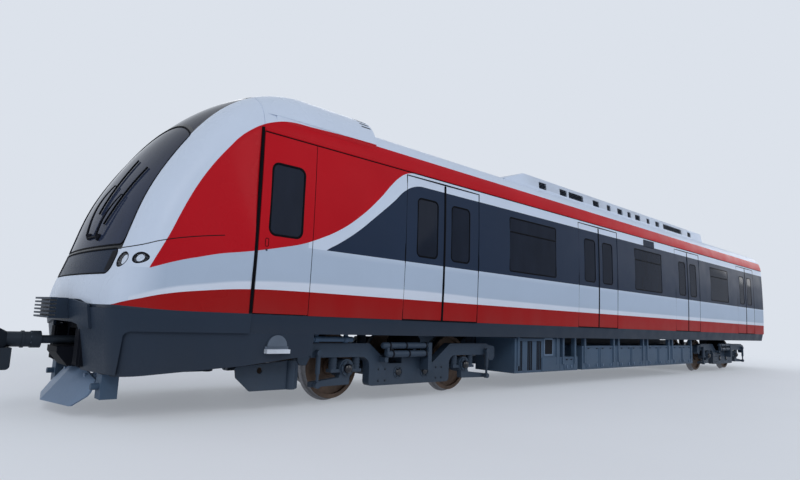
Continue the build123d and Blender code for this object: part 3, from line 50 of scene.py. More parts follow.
# Sizes shared with the CAD model
rail_top = 0.028
side_radius = 25.0
waist_z = 1.9 + rail_top
waist_y = 1.43
floor_z = 1.06 + rail_top
cantrail_z = 3.1 + rail_top
ceiling_z = 3.2 + rail_top
inner_y = 1.34
body_rear = -10.14
cab_joint = 8.26
cab_door_rear = 7.54
door_xs = [5.25, 0.69, -3.87, -8.43]
doorway_half = 0.785
doorway_top = 3.05 + rail_top
window_xs = [2.97, -1.59, -6.15]
window_low, window_top, window_half = 1.92 + rail_top, 2.81 + rail_top, 0.6975
pane_low, pane_top = 1.94 + rail_top, 2.76 + rail_top
bogie_xs = [5.55, -7.1]
half_wheelbase = 1.15
axle_xs = [x + dx for x in bogie_xs for dx in (half_wheelbase, -half_wheelbase)]
axle_z = 0.448
hub_y = 1.147
damper_y = 1.262
coupler_z = 0.733
box_outer_y = 1.25
rear_wall_x = -10.138
fairing_top = 3.912

ahead = Vector((1.0, 0.0, 0.0))
left = Vector((0.0, 1.0, 0.0))
up = Vector((0.0, 0.0, 1.0))
scene = bpy.context.scene


def screen(red, green, blue):
    """A colour as it shows on screen, 0 to 255, as linear values."""
    shares = [v / 255 for v in (red, green, blue)]
    return (*(v / 12.92 if v <= 0.04045 else ((v + 0.055) / 1.055) ** 2.4 for v in shares), 1.0)


# Colours as they show on screen
white = screen(199, 211, 229)
silver = screen(170, 186, 207)
bright_line = screen(208, 217, 232)
upper_red = screen(176, 17, 30)
lower_red_in_painted_shade = screen(152, 7, 12)
# Red of the lower stripe: a darker copy of the upper red, painted shade for the lower side that faces a
# little downward.
band_grey = screen(34, 47, 68)
line_black = screen(10, 12, 17)
nose_black = screen(33, 44, 62)
skirt_grey = screen(40, 51, 66)
inner_grey = screen(196, 194, 188)
dust = screen(112, 108, 102)

# Edges of the painted areas: place along the car, height over the floor
red_low_edge = [
    (5.75, 3.128), (5.95, 3.11), (6.06, 3.077), (6.19, 2.995), (6.33, 2.864), (6.51, 2.667), (6.85, 2.358),
    (7.17, 2.138), (7.48, 1.988), (7.69, 1.908), (7.92, 1.848), (8.34, 1.754), (8.67, 1.694), (8.87, 1.642),
    (9.07, 1.587), (9.34, 1.49)]
red_high_edge = [
    (6.2, 3.368), (7.1, 3.358), (7.59, 3.338), (7.96, 3.318), (8.15, 3.258), (8.3, 3.184), (8.44, 3.083),
    (8.55, 2.981), (8.65, 2.855), (8.75, 2.722), (8.85, 2.572), (8.94, 2.416), (9.03, 2.233), (9.11, 2.045),
    (9.19, 1.843), (9.27, 1.666), (9.35, 1.49)]
stripe_top_edge = [
    (7.3, 1.363), (7.52, 1.363), (8.31, 1.348), (8.84, 1.299), (9.14, 1.256), (9.41, 1.192), (9.55, 1.15),
    (9.6, 1.127), (9.78, 1.06)]
dark_top_edge = [
    (8.28, 1.084), (8.61, 1.086), (9.02, 1.09), (9.22, 1.096), (9.4, 1.107), (9.52, 1.115), (9.6, 1.121),
    (9.67, 1.12), (9.7, 1.14), (9.72, 1.168), (9.76, 1.17)]
seam_edge = [(8.63, 1.893), (9.0, 1.83), (9.26, 1.766), (9.45, 1.7), (9.54, 1.68)]
# Bright line over the lower red stripe: place along the car, height of the line
bright_line_height = [
    (1.5, 0.085), (4.0, 0.1), (5.8, 0.125), (6.8, 0.115), (8.3, 0.086), (8.75, 0.07), (9.2, 0.055),
    (9.5, 0.033)]
# Front edge of the window band: height over the floor, place along the car
band_front_edge = [
    (1.873, 7.34), (1.888, 7.32), (1.978, 7.16), (2.148, 6.9), (2.418, 6.56), (2.668, 6.26), (2.838, 6.07),
    (2.938, 5.86), (2.962, 5.65)]
band_low, band_high = 1.873, 2.958
# Rear edge of the black area round the nose's glass: distance from the middle, place along the car
black_rear_edge = [
    (0.0, 8.135), (0.5, 8.143), (0.85, 8.158), (0.93, 8.168), (0.965, 8.185), (0.985, 8.21), (0.995, 8.24)]

backdrop = screen(220, 226, 235)
materials = {}


class Nodes:
    """A tree of shader nodes under construction."""

    def __init__(self, tree):
        self.tree = tree

    def put(self, value, socket):
        """Set an input to a constant, or link an output to it."""
        if isinstance(value, (int, float, tuple)):
            socket.default_value = value
        else:
            self.tree.links.new(value, socket)

    def node(self, kind, inputs, output=0, **settings):
        """One output of a new node with the given inputs, by number or name, and settings."""
        node = self.tree.nodes.new("ShaderNode" + kind)
        for name, setting in settings.items():
            setattr(node, name, setting)
        for key, value in inputs.items():
            self.put(value, node.inputs[key])
        return node.outputs[output]

    def math(self, operation, *values, clamp=False):
        return self.node("Math", dict(enumerate(values)), operation=operation, use_clamp=clamp)

    def over(self, value, edge):
        """1 where the value lies over the edge."""
        return self.math("GREATER_THAN", value, edge)

    def under(self, value, edge):
        return self.math("LESS_THAN", value, edge)

    def both(self, *masks):
        """1 where all the masks are 1."""
        return reduce(lambda a, b: self.math("MULTIPLY", a, b), masks)

    def either(self, *masks):
        return reduce(lambda a, b: self.math("MAXIMUM", a, b), masks)

    def between(self, value, low, high):
        return self.both(self.over(value, low), self.under(value, high))

    def ramp(self, value, low, high, start=0.0, end=1.0):
        """Straight change from start to end as the value goes from low to high."""
        return self.node("MapRange", dict(enumerate((value, low, high, start, end))))

    def seen_ray(self):
        """1 for rays from the camera, off gloss and through glass, which all see the backdrop."""
        path = self.tree.nodes.new("ShaderNodeLightPath")
        return self.either(*(path.outputs[name] for name in
                             ("Is Camera Ray", "Is Glossy Ray", "Is Transmission Ray")))


class Shader(Nodes):
    """A material under construction, with the object's own coordinates at hand."""

    def __init__(self, name, roughness=0.5, metallic=0.0, coat=0.0, specular=0.5):
        self.material = bpy.data.materials.new(name)
        materials[name] = self.material
        self.material.use_nodes = True
        super().__init__(self.material.node_tree)
        self.bsdf = self.tree.nodes["Principled BSDF"]
        for socket, value in (("Roughness", roughness), ("Metallic", metallic), ("Coat Weight", coat),
                              ("Coat Roughness", 0.06), ("Specular IOR Level", specular)):
            self.bsdf.inputs[socket].default_value = value
        self.place = self.tree.nodes.new("ShaderNodeTexCoord").outputs["Object"]
        split = self.tree.nodes.new("ShaderNodeSeparateXYZ")
        self.put(self.place, split.inputs[0])
        self.x, self.y, self.z = split.outputs

    def wide(self):
        """Distance from the middle of the car."""
        return self.math("ABSOLUTE", self.y)

    def curve(self, value, points):
        """A smooth line through (input, output) points, level past its ends."""
        x0, x1 = points[0][0], points[-1][0]
        y0 = min(y for _, y in points)
        y1 = max(y for _, y in points)
        node = self.tree.nodes.new("ShaderNodeFloatCurve")
        line = node.mapping.curves[0]
        places = [((x - x0) / (x1 - x0), (y - y0) / (y1 - y0)) for x, y in points]
        line.points[0].location = places[0]
        line.points[1].location = places[-1]
        for place in places[1:-1]:
            line.points.new(*place)
        node.mapping.update()
        self.put(self.ramp(value, x0, x1), node.inputs["Value"])
        return self.ramp(node.outputs[0], 0.0, 1.0, y0, y1)

    def noise(self, scale, detail=3.0, stretch=(1.0, 1.0, 1.0)):
        place = self.node("Mapping", {"Vector": self.place, "Scale": stretch})
        return self.node("TexNoise", {"Vector": place, "Scale": scale, "Detail": detail})

    def sway(self, noise, low, high):
        """Noise, which keeps near its middle, spread out to run from low to high."""
        return self.ramp(noise, 0.3, 0.7, low, high)

    def mix(self, factor, first, second):
        return self.node("Mix", {0: factor, 6: first, 7: second}, output=2, data_type="RGBA")

    def shade(self, colour, amount):
        """The colour scaled by a value near 1."""
        colour = colour[:3] if isinstance(colour, tuple) else colour
        return self.node("VectorMath", {0: colour, "Scale": amount}, operation="SCALE")

    def vary(self, colour, noise, low, high):
        """The colour scaled by noise, between low and high."""
        return self.shade(colour, self.sway(noise, low, high))

    def bump(self, height, distance):
        self.put(self.node("Bump", {"Distance": distance, "Height": height}), self.bsdf.inputs["Normal"])

    def done(self, colour, roughness=None):
        self.put(colour, self.bsdf.inputs["Base Color"])
        if roughness is not None:
            self.put(roughness, self.bsdf.inputs["Roughness"])


def livery(s, inside=None):
    """The car's paint: silver sides, dark window band, white sweep, red bands and white roof."""
    x, z = s.x, s.z
    mottle = s.noise(0.6, 4.0)
    stripe_top = s.curve(x, stripe_top_edge)
    line_top = s.math("ADD", stripe_top, s.curve(x, bright_line_height))
    line = s.ramp(s.math("SUBTRACT", z, line_top), -0.012, 0.012, 1.0, 0.0)
    sweep = s.both(s.ramp(z, 1.8, 1.96), s.under(x, 7.75), s.ramp(x, 7.2, 7.75, 1.0, 0.0))
    band = s.both(s.between(z, band_low, band_high), s.under(x, s.curve(z, band_front_edge)))
    high = s.curve(x, red_high_edge)
    red = s.both(s.over(z, s.curve(x, red_low_edge)), s.under(z, high))
    # Painted light: the base silver turns white towards the front of the nose, the lit front paler than the
    # side.
    colour = s.mix(s.ramp(x, 9.2, 9.55), silver, white)
    # The last mask lays the lower stripe's red, darkened by painted shade.
    for mask, paint in ((s.both(line, s.under(x, 9.5)), bright_line),
                        (sweep, white),
                        (s.both(s.over(z, band_low), s.under(x, 7.6)), white),
                        (band, s.vary(band_grey, mottle, 0.95, 1.06)),
                        (s.over(z, high), white),
                        (red, s.vary(upper_red, mottle, 0.94, 1.07)),
                        (s.under(z, stripe_top), lower_red_in_painted_shade)):
        colour = s.mix(mask, colour, paint)
    colour = s.vary(colour, s.noise(1.1, 3.0), 0.98, 1.02)
    return colour if inside is None else s.mix(inside, colour, inner_grey)


def dusty(s, colour, low, high, amount):
    """Road dust that thins out upward from low to high."""
    streaks = s.noise(2.2, 5.0, (1.0, 1.0, 0.25))
    fade = s.ramp(s.z, low, high, amount, 0.0)
    return s.mix(s.math("MULTIPLY", fade, streaks, clamp=True), colour, dust)


def paint_side():
    """Livery outside, grey inside the rooms and in the passage through the rear wall."""
    s = Shader("side_paint", specular=0.05)
    room = s.both(s.under(s.wide(), 1.376), s.between(s.z, floor_z + 0.005, ceiling_z + 0.005),
                  s.between(s.x, body_rear + 0.055, 8.2))
    passage = s.both(s.under(s.wide(), 0.57), s.between(s.z, 1.12, 3.05), s.under(s.x, body_rear + 0.06))
    colour = dusty(s, livery(s, s.either(room, passage)), floor_z - 0.1, floor_z + 0.5, 0.22)
    s.done(colour, s.sway(s.noise(3.0), 0.36, 0.46))


def paint_roof():
    s = Shader("roof_paint", specular=0.06)
    room = s.both(s.under(s.wide(), inner_y + 0.002), s.under(s.z, ceiling_z + 0.004))
    soot = s.both(s.over(s.z, 3.6), s.ramp(s.noise(1.3, 5.0, (0.4, 1.0, 1.0)), 0.45, 0.75, 0.0, 0.35))
    s.done(s.mix(soot, livery(s, room), dust), s.sway(s.noise(3.0), 0.34, 0.46))


def paint_mask():
    """Livery with the black round the glass, the joint behind the mask, the seam and the dark foot."""
    s = Shader("mask_paint", coat=0.02, specular=0.08)
    wide = s.wide()
    black = s.both(s.under(wide, 0.995), s.over(s.z, 1.672), s.over(s.x, s.curve(wide, black_rear_edge)))
    joint = s.both(s.under(s.x, cab_joint + 0.036), s.under(s.z, 3.165))
    off_seam = s.math("ABSOLUTE", s.math("SUBTRACT", s.z, s.curve(s.x, seam_edge)))
    seam = s.both(s.under(off_seam, 0.005), s.over(s.x, seam_edge[0][0]), s.over(wide, 0.97))
    colour = livery(s)
    for mask, paint in ((black, line_black), (joint, line_black), (seam, line_black),
                        (s.under(s.z, s.curve(s.x, dark_top_edge)), skirt_grey)):
        colour = s.mix(mask, colour, paint)
    s.done(dusty(s, colour, 1.0, 1.6, 0.12), s.sway(s.noise(3.0), 0.22, 0.32))


def plain(name, colour, roughness, metallic, grain, depth, spread, specular, dirt=None, coat=0.0):
    """A finish of one colour with fine grain, slow variation and optional dust."""
    s = Shader(name, roughness, metallic, coat, specular)
    tone = s.vary(colour, s.noise(1.4, 5.0), 1 - spread, 1 + spread)
    if dirt:
        tone = dusty(s, tone, *dirt)
    drawn = metallic == 1.0
    fine = s.noise(grain, 3.0, (2.0, 60.0, 60.0) if drawn else (1.0, 1.0, 1.0))
    s.bump(fine, depth / 1000)
    s.done(tone, s.sway(fine, roughness - 0.06, roughness + 0.08))


def glass(name, tint, roughness, through, specular, ior, smears=0.07, shaded=False):
    """Glass with faint smears, darker towards the top where it is shaded."""
    s = Shader(name, roughness, specular=specular)
    s.bsdf.inputs["Transmission Weight"].default_value = through
    s.bsdf.inputs["IOR"].default_value = ior
    smear = s.noise(4.0, 4.0, (1.0, 1.0, 0.4))
    if shaded:
        tint = s.shade(tint, s.ramp(s.z, 2.3, 3.3, 1.0, 0.5))
    s.done(s.vary(tint, smear, 0.88, 1.1), s.ramp(smear, 0.3, 0.8, roughness, roughness + smears))


def wheel_finish():
    """Rolling steel: bright tread, rusty brown web, polished brake discs."""
    s = Shader("wheel_steel", 0.4, metallic=1.0)
    radii = []
    for x in axle_xs:
        dx = s.math("SUBTRACT", s.x, x)
        dz = s.math("SUBTRACT", s.z, axle_z)
        radii.append(s.math("SQRT", s.math("ADD", s.math("MULTIPLY", dx, dx), s.math("MULTIPLY", dz, dz))))
    distance = reduce(lambda a, b: s.math("MINIMUM", a, b), radii)
    rust = s.vary(screen(92, 74, 62), s.noise(9.0, 6.0), 0.6, 1.25)
    wide = s.wide()
    tread = s.both(s.over(distance, 0.414), s.over(wide, 0.68))
    disc = s.both(s.between(wide, 0.28, 0.38), s.over(distance, 0.12))
    bright = s.either(tread, disc)
    colour = s.mix(bright, rust, s.vary(screen(132, 132, 136), s.noise(40.0, 2.0), 0.85, 1.1))
    s.put(s.ramp(bright, 0.0, 1.0, 0.25, 1.0), s.bsdf.inputs["Metallic"])
    s.bump(s.noise(50.0, 4.0), 0.0004)
    s.done(colour, s.ramp(bright, 0.0, 1.0, 0.62, 0.38))


def bellows_cloth():
    s = Shader("bellows", 0.75)
    s.bump(s.math("ADD", s.noise(180.0, 2.0, (1.0, 0.3, 0.3)), s.noise(180.0, 2.0, (0.3, 1.0, 1.0))), 0.0006)
    s.done(dusty(s, s.vary(screen(66, 68, 74), s.noise(2.5, 4.0), 0.8, 1.15), 0.9, 3.2, 0.3))


def seat_cloth():
    """Woven cloth with a thread every 3.5 mm."""
    s = Shader("seat_cloth", 0.9)
    threads = 1800.0
    across = s.math("SINE", s.math("MULTIPLY", s.x, threads))
    along = s.math("SINE", s.math("MULTIPLY", s.math("ADD", s.y, s.z), threads))
    s.bump(s.math("ADD", across, along), 0.0003)
    s.bsdf.inputs["Sheen Weight"].default_value = 0.3
    s.done(s.vary(screen(44, 56, 82), s.noise(12.0, 5.0), 0.75, 1.2))


def floor_cover():
    """Underframe: speckled floor cover on top, grey paint at the sides and below."""
    s = Shader("underframe_paint", 0.55, specular=0.12)
    speckle = s.shade(screen(92, 94, 98), s.ramp(s.noise(120.0, 2.0), 0.35, 0.65, 0.7, 1.25))
    top = s.both(s.over(s.z, floor_z - 0.002), s.under(s.wide(), 1.36))
    paint = dusty(s, s.vary(skirt_grey, s.noise(1.2, 4.0), 0.95, 1.05), 0.5, 1.05, 0.25)
    s.done(s.mix(top, paint, speckle), s.sway(s.noise(3.0), 0.42, 0.58))


def step_finish():
    """Driver's step: grey paint on the housing, bright metal on the tread below it."""
    s = Shader("step_finish", 0.42, specular=0.3)
    tone = s.sway(s.noise(6.0, 4.0), 0.9, 1.08)
    s.bump(s.noise(70.0, 2.0, (1.0, 1.0, 0.2)), 0.0004)
    s.done(s.shade(s.mix(s.under(s.z, 0.709), screen(84, 96, 112), screen(196, 204, 216)), tone))


# Plain finishes. Columns: name, colour, roughness, metal, scale of the grain, its depth in mm, spread of the
# tone, specular level, dust (from one height to another, amount), coat
for row in (
        ("dark_grey_paint", skirt_grey, 0.45, 0.0, 40.0, 0.2, 0.05, 0.12, (0.4, 1.0, 0.12)),
        ("bogie_paint", screen(42, 58, 76), 0.5, 0.0, 35.0, 0.6, 0.12, 0.2, (0.2, 0.95, 0.2)),
        ("equipment_paint", screen(62, 83, 106), 0.48, 0.0, 35.0, 0.4, 0.08, 0.15, (0.2, 0.9, 0.15)),
        ("deflector_paint", screen(108, 130, 158), 0.42, 0.0, 30.0, 0.4, 0.08, 0.2, (0.05, 0.5, 0.2)),
        ("latch_paint", screen(92, 112, 136), 0.45, 0.0, 50.0, 0.2, 0.06, 0.2),
        ("black_panel", nose_black, 0.25, 0.0, 60.0, 0.05, 0.05, 0.02),
        ("gloss_black", screen(10, 13, 24), 0.14, 0.0, 60.0, 0.02, 0.05, 0.5),
        ("black_plastic", screen(15, 18, 26), 0.6, 0.0, 110.0, 0.2, 0.08, 0.08),
        ("rubber", line_black, 0.7, 0.0, 90.0, 0.3, 0.08, 0.04),
        ("pale_lens", screen(226, 232, 244), 0.15, 0.0, 60.0, 0.02, 0.03, 0.5, None, 0.5),
        ("inner_panel", inner_grey, 0.5, 0.0, 80.0, 0.2, 0.08, 0.5),
        ("seat_shell", screen(40, 62, 96), 0.4, 0.0, 100.0, 0.2, 0.08, 0.5),
        ("coupler_steel", screen(44, 52, 62), 0.5, 0.4, 45.0, 1.0, 0.2, 0.2),
        ("bright_metal", screen(150, 166, 188), 0.4, 0.3, 50.0, 0.2, 0.06, 0.5),
        ("gangway_frame", screen(92, 100, 112), 0.42, 0.4, 50.0, 0.2, 0.06, 0.2),
        ("pole_steel", screen(205, 207, 210), 0.26, 1.0, 30.0, 0.08, 0.12, 0.5),
        ("reflector_chrome", screen(235, 238, 242), 0.12, 1.0, 30.0, 0.08, 0.03, 0.5)):
    plain(*row)
glass("window_glass", screen(34, 41, 55), 0.04, 0.2, 0.08, 1.2)
glass("nose_glass", screen(50, 59, 82), 0.04, 0.25, 0.06, 1.2, smears=0.06, shaded=True)
glass("lamp", screen(240, 244, 250), 0.02, 0.98, 0.1, 1.1)
for finish in (paint_side, paint_roof, paint_mask, wheel_finish, bellows_cloth, seat_cloth, floor_cover,
               step_finish):
    finish()

own_finish = {"cab_steps": "step_finish", "gangway_frame": "gangway_frame"}
for part in frame["record"]["subparts"]:
    name = part["node"]
    slots = cad_nodes[name].data.materials
    slots.clear()
    slots.append(materials[own_finish.get(name, part["material_slot"])])


def around(count, first=0.0):
    """Angles of evenly spaced points on a circle, the first one in degrees."""
    return [math.radians(first) + 2 * math.pi * k / count for k in range(count)]


def circle(centre, side, other, radius, count, first=0.0):
    """Evenly spaced points on a circle through two directions."""
    return [centre + (side * math.cos(t) + other * math.sin(t)) * radius for t in around(count, first)]


def rounded_box(x0, x1, z0, z1, radius, steps=6):
    """Corner points of a rounded rectangle, anticlockwise."""
    points = []
    for cx, cz, start in ((x1 - radius, z1 - radius, 0), (x0 + radius, z1 - radius, 90),
                          (x0 + radius, z0 + radius, 180), (x1 - radius, z0 + radius, 270)):
        for k in range(steps + 1):
            t = math.radians(start + 90 * k / steps)
            points.append((cx + radius * math.cos(t), cz + radius * math.sin(t)))
    return points


def directions(path, closed):
    """The direction of a path at each of its points."""
    n = len(path)
    return [(path[(i + 1) % n if closed else min(i + 1, n - 1)]
             - path[i - 1 if closed else max(i - 1, 0)]).normalized() for i in range(n)]


class Build:
    """Collects shapes for one piece."""

    def __init__(self):
        self.points = []
        self.faces = []

    def add(self, points, faces):
        start = len(self.points)
        self.points += [tuple(p) for p in points]
        self.faces += [tuple(start + i for i in face) for face in faces]

    def rings(self, rings, closed=False):
        """Skin over rings of the same number of points, with flat ends unless it closes on itself."""
        n = len(rings[0])
        points = [p for ring in rings for p in ring]
        faces = []
        count = len(rings)
        for i in range(count if closed else count - 1):
            a = i * n
            b = (i + 1) % count * n
            faces += [(a + k, a + (k + 1) % n, b + (k + 1) % n, b + k) for k in range(n)]
        if not closed:
            faces += [tuple(range(n))[::-1], tuple(range((count - 1) * n, count * n))]
        self.add(points, faces)

    def strip(self, line, width, height, closed=False, sink=0.003):
        """A raised band with rounded shoulders along (point, normal) pairs."""
        half, shoulder = width / 2, height * 0.55
        profile = [(half, -sink), (half, shoulder), (half * 0.66, height), (-half * 0.66, height),
                   (-half, shoulder), (-half, -sink)]
        rings = []
        for (p, normal), along in zip(line, directions([p for p, _ in line], closed)):
            side = along.cross(normal).normalized()
            rings.append([p + side * s + normal * h for s, h in profile])
        self.rings(rings, closed)

    def tube(self, path, radius, sides=10, closed=False):
        """A round tube along a path, with square ends and one radius or one for each point."""
        path = [Vector(p) for p in path]
        side = None
        rings = []
        for i, (p, along) in enumerate(zip(path, directions(path, closed))):
            if side is None:
                side = along.orthogonal().normalized()
            side = (side - along * side.dot(along)).normalized()
            r = radius[i] if isinstance(radius, list) else radius
            rings.append(circle(p, side, along.cross(side), r, sides))
        self.rings(rings, closed)

    def block(self, low, high, insets, radius, steps, turn=Matrix()):
        """A block between two corners, drawn in by insets from its ends, (height, inset) pairs."""
        low, high = Vector(low), Vector(high)
        rings = []
        for z, inset in [(low.z + dz, i) for dz, i in insets] + [(high.z - dz, i) for dz, i in insets[::-1]]:
            outline = rounded_box(low.x + inset, high.x - inset, low.y + inset, high.y - inset, radius, steps)
            rings.append([turn @ Vector((x, y, z)) for x, y in outline])
        self.rings(rings)

    def bar(self, low, high, bevel=0.004, turn=Matrix()):
        """A block with its edges taken off."""
        bevel = min(bevel, min(Vector(high) - Vector(low)) * 0.45)
        self.block(low, high, ((0.0, bevel), (bevel, 0.0)), bevel * 0.6, 1, turn)

    def side_strip(self, points, lift, width, height, closed=False, sink=0.003):
        """A strip on each body side, through (along, up) pairs."""
        for side in (1, -1):
            self.strip(side_line(points, side, lift), width, height, closed, sink)

    def face_strip(self, points, y, width, height, closed=False):
        """A strip on an upright face on each side, at a distance from the middle."""
        for side in (1, -1):
            line = [(Vector((x, side * y, z)), left * side) for x, z in points]
            self.strip(line, width, height, closed)

    def side_bars(self, x0, x1, inner, outer, z0, z1, bevel=0.003):
        """A block on each side of the car, between two distances from the middle."""
        self.bar((x0, inner, z0), (x1, outer, z1), bevel)
        self.bar((x0, -outer, z0), (x1, -inner, z1), bevel)

    def turned(self, origin, axis, profile, sides=24):
        """A turned shape: (distance along the axis, radius) pairs."""
        origin, axis = Vector(origin), Vector(axis).normalized()
        side = axis.orthogonal().normalized()
        other = axis.cross(side)
        self.rings([circle(origin + axis * along, side, other, max(radius, 0.0002), sides)
                    for along, radius in profile])

    def bolts(self, places, axis, size):
        """Washers and hexagon heads."""
        washer = [(-0.002, size * 1.5), (size * 0.2, size * 1.5), (size * 0.22, size * 1.4)]
        head = [(size * 0.2, size), (size * 0.75, size), (size * 0.95, size * 0.75)]
        for place in places:
            self.turned(place, axis, washer, 12)
            self.turned(place, axis, head, 6)

    def piece(self, name, material, body="car_body", smooth=35.0, slot=None):
        mesh = bpy.data.meshes.new(name)
        mesh.from_pydata(self.points, [], self.faces)
        work = bmesh.new()
        work.from_mesh(mesh)
        bmesh.ops.recalc_face_normals(work, faces=work.faces)
        work.to_mesh(mesh)
        work.free()
        mesh.materials.append(materials[material])
        mesh.shade_smooth()
        mesh.set_sharp_from_angle(angle=math.radians(smooth))
        piece = bpy.data.objects.new(name, mesh)
        scene.collection.objects.link(piece)
        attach(piece, body)
        return piece


def side_half(z):
    """Half width of the body at a height on the side's long arc."""
    return waist_y - (side_radius - math.sqrt(side_radius ** 2 - (z - waist_z) ** 2))


def on_side(x, z, side, lift=0.0):
    """A point on the body side and the outward normal there."""
    slope = (z - waist_z) / side_radius
    normal = Vector((0.0, side * math.sqrt(1 - slope * slope), slope))
    return Vector((x, side * side_half(z), z)) + normal * lift, normal


def side_line(points, side, lift=0.0):
    """Points and normals on the body side, from (along, up) pairs."""
    return [on_side(x, z, side, lift) for x, z in points]


def surface_tree(*names):
    """The surface of some CAD nodes, for laying pieces on it."""
    points, faces = [], []
    for name in names:
        mesh = cad_nodes[name].data
        start = len(points)
        points += [v.co.copy() for v in mesh.vertices]
        faces += [[start + i for i in polygon.vertices] for polygon in mesh.polygons]
    return BVHTree.FromPolygons(points, faces)


nose_tree = surface_tree("cab_mask", "windscreen", "lower_front_panel", "display_panel", "headlamps",
                         "cab_dome")


def on_nose(y, z, lift=0.0):
    """The point of the nose met by a line from the front, and the outward normal."""
    # A line through a narrow joint is tried again a little beside it.
    for dy, dz in ((0.0, 0.0), (0.0015, 0.0), (-0.0015, 0.0), (0.0, 0.0015), (0.0, -0.0015), (0.003, 0.003)):
        point, normal, _, _ = nose_tree.ray_cast(Vector((12.0, y + dy, z + dz)), -ahead)
        if point is not None:
            break
    if normal.x < 0:
        normal = -normal
    return point + normal * lift, normal


def nose_ring(points, lift):
    """Points laid on the nose, from (across, up) pairs."""
    return [on_nose(y, z, lift)[0] for y, z in points]


def gaskets():
    """Rubber round the side windows and the door windows, and lines round the doors."""
    windows, doors = Build(), Build()
    transom_z = window_top - (window_top - window_low) * 0.26 - 0.006
    for x in window_xs:
        outline = rounded_box(x - window_half, x + window_half, window_low, window_top, 0.035)
        windows.side_strip(outline, -0.004, 0.024, 0.006, closed=True)
        windows.side_strip([(x + dx, transom_z) for dx in (-0.69, 0.0, 0.69)], -0.004, 0.022, 0.004)
    outer = doorway_half - 0.002
    low, top = floor_z + 0.003, doorway_top - 0.004
    for x in door_xs:
        for a, b in ((x + 0.15, x + 0.56), (x - 0.56, x - 0.15)):
            outline = rounded_box(a, b, pane_low, pane_top, 0.07)
            windows.side_strip(outline, -0.008, 0.024, 0.007, closed=True)
        edge = [(x - outer, low), (x - outer, 2.0), (x - outer, top), (x, top), (x + outer, top),
                (x + outer, 2.0), (x + outer, low)]
        doors.side_strip(edge, -0.001, 0.022, 0.003, closed=True)
        doors.side_strip([(x, floor_z + 0.002 + k * 0.49) for k in range(5)], -0.006, 0.042, 0.009)
    windows.piece("window_gaskets", "rubber")
    doors.piece("door_edge_rubbers", "rubber")


def cab_doors():
    """Window rubber, flush pull and lock of the driver's doors."""
    x0 = (cab_door_rear + cab_joint) / 2 + 0.015 - 0.215
    pane = rounded_box(x0, x0 + 0.43, pane_low, pane_top, 0.08)
    pull = rounded_box(8.13, 8.17, 1.83, 1.92, 0.015, 3)
    for side, name in ((1, "left"), (-1, "right")):
        rubber, lock = Build(), Build()
        rubber.strip(side_line(pane, side, -0.003), 0.026, 0.006, closed=True)
        rubber.strip(side_line(pull, side, -0.001), 0.008, 0.003, closed=True)
        lock.turned(*on_side(8.15, 1.79, side), [(-0.002, 0.012), (0.003, 0.012), (0.004, 0.009)], 16)
        rubber.piece("cab_door_rubber_" + name, "rubber", name + "_cab_door")
        lock.piece("cab_door_lock_" + name, "dark_grey_paint", name + "_cab_door")


def body_lines():
    """Rain gutters in the body's colour, dark strips under them as painted shadow, and the joints of the
    cab's side.
    """
    gutters, painted_shadows, joints = Build(), Build(), Build()
    ends = (body_rear, -5.0, 0.0, 5.0, cab_joint - 0.012)
    y = side_half(cantrail_z)
    gutters.face_strip([(x, cantrail_z + 0.012) for x in ends], y - 0.002, 0.022, 0.011)
    # Painted shadow: a thin dark strip just under each gutter.
    painted_shadows.face_strip([(x, cantrail_z - 0.004) for x in ends], y - 0.003, 0.02, 0.005)
    front = [(cab_joint + 0.019, floor_z + 0.01 + k * 0.1035) for k in range(21)]
    joints.side_strip(front, 0.001, 0.034, 0.004, sink=0.02)
    rear = [(cab_door_rear + 0.004, floor_z + 0.01 + k * 0.5) for k in range(5)]
    joints.side_strip(rear, -0.004, 0.012, 0.003)
    gutters.piece("rain_gutters", "side_paint")
    painted_shadows.piece("gutter_painted_shadows", "rubber")
    joints.piece("panel_joints", "rubber")


def side_displays():
    """Blank display over the middle of each side: dark glass in a thin frame."""
    glass_plates, rims = Build(), Build()
    outline = rounded_box(-1.91, -1.37, 2.945, 3.09, 0.012, 3)
    for side in (1, -1):
        glass_plates.rings([[p for p, _ in side_line(outline, side, lift)] for lift in (-0.004, 0.004)])
    rims.side_strip(outline, 0.0, 0.012, 0.007, closed=True)
    glass_plates.piece("side_displays", "black_panel")
    rims.piece("side_display_rims", "rubber")


def fillet_loop(points, radius, steps=6):
    """Round the sharp corners of a closed outline."""
    points = [Vector(p) for p in points]
    result = []
    for i, corner in enumerate(points):
        a = (points[i - 1] - corner).normalized()
        b = (points[(i + 1) % len(points)] - corner).normalized()
        half = a.angle(b) / 2
        if half > math.radians(77.5):
            result.append(corner)
            continue
        reach = radius / math.tan(half)
        centre = corner + (a + b).normalized() * radius / math.sin(half)
        first, last = corner + a * reach - centre, corner + b * reach - centre
        result += [centre + first.lerp(last, k / steps).normalized() * radius for k in range(steps + 1)]
    return result


def windscreen_outline():
    """Outline of the windscreen, across by up: an arc on top and a straight lower edge."""
    rise, half, top = 3.25 - 2.96, 1.0, 3.25 + rail_top
    radius = (half * half + rise * rise) / (2 * rise)
    across = [half - 2 * half * k / 24 for k in range(25)]
    arc = [(y, top - radius + math.sqrt(radius * radius - y * y)) for y in across]
    low = 1.7 + rail_top
    return fillet_loop([(-0.98, low), (0.98, low)] + arc, 0.07)


def dense(points, grow=0.006, step=0.06):
    """The same closed outline grown a little on to the mask, with long runs divided."""
    centre = sum((Vector(p) for p in points), Vector((0.0, 0.0))) / len(points)
    points = [Vector(p) + (Vector(p) - centre).normalized() * grow for p in points]
    result = []
    for i, p in enumerate(points):
        q = points[(i + 1) % len(points)]
        count = max(1, int(math.dist(p, q) / step))
        result += [p.lerp(q, k / count) for k in range(count)]
    return result


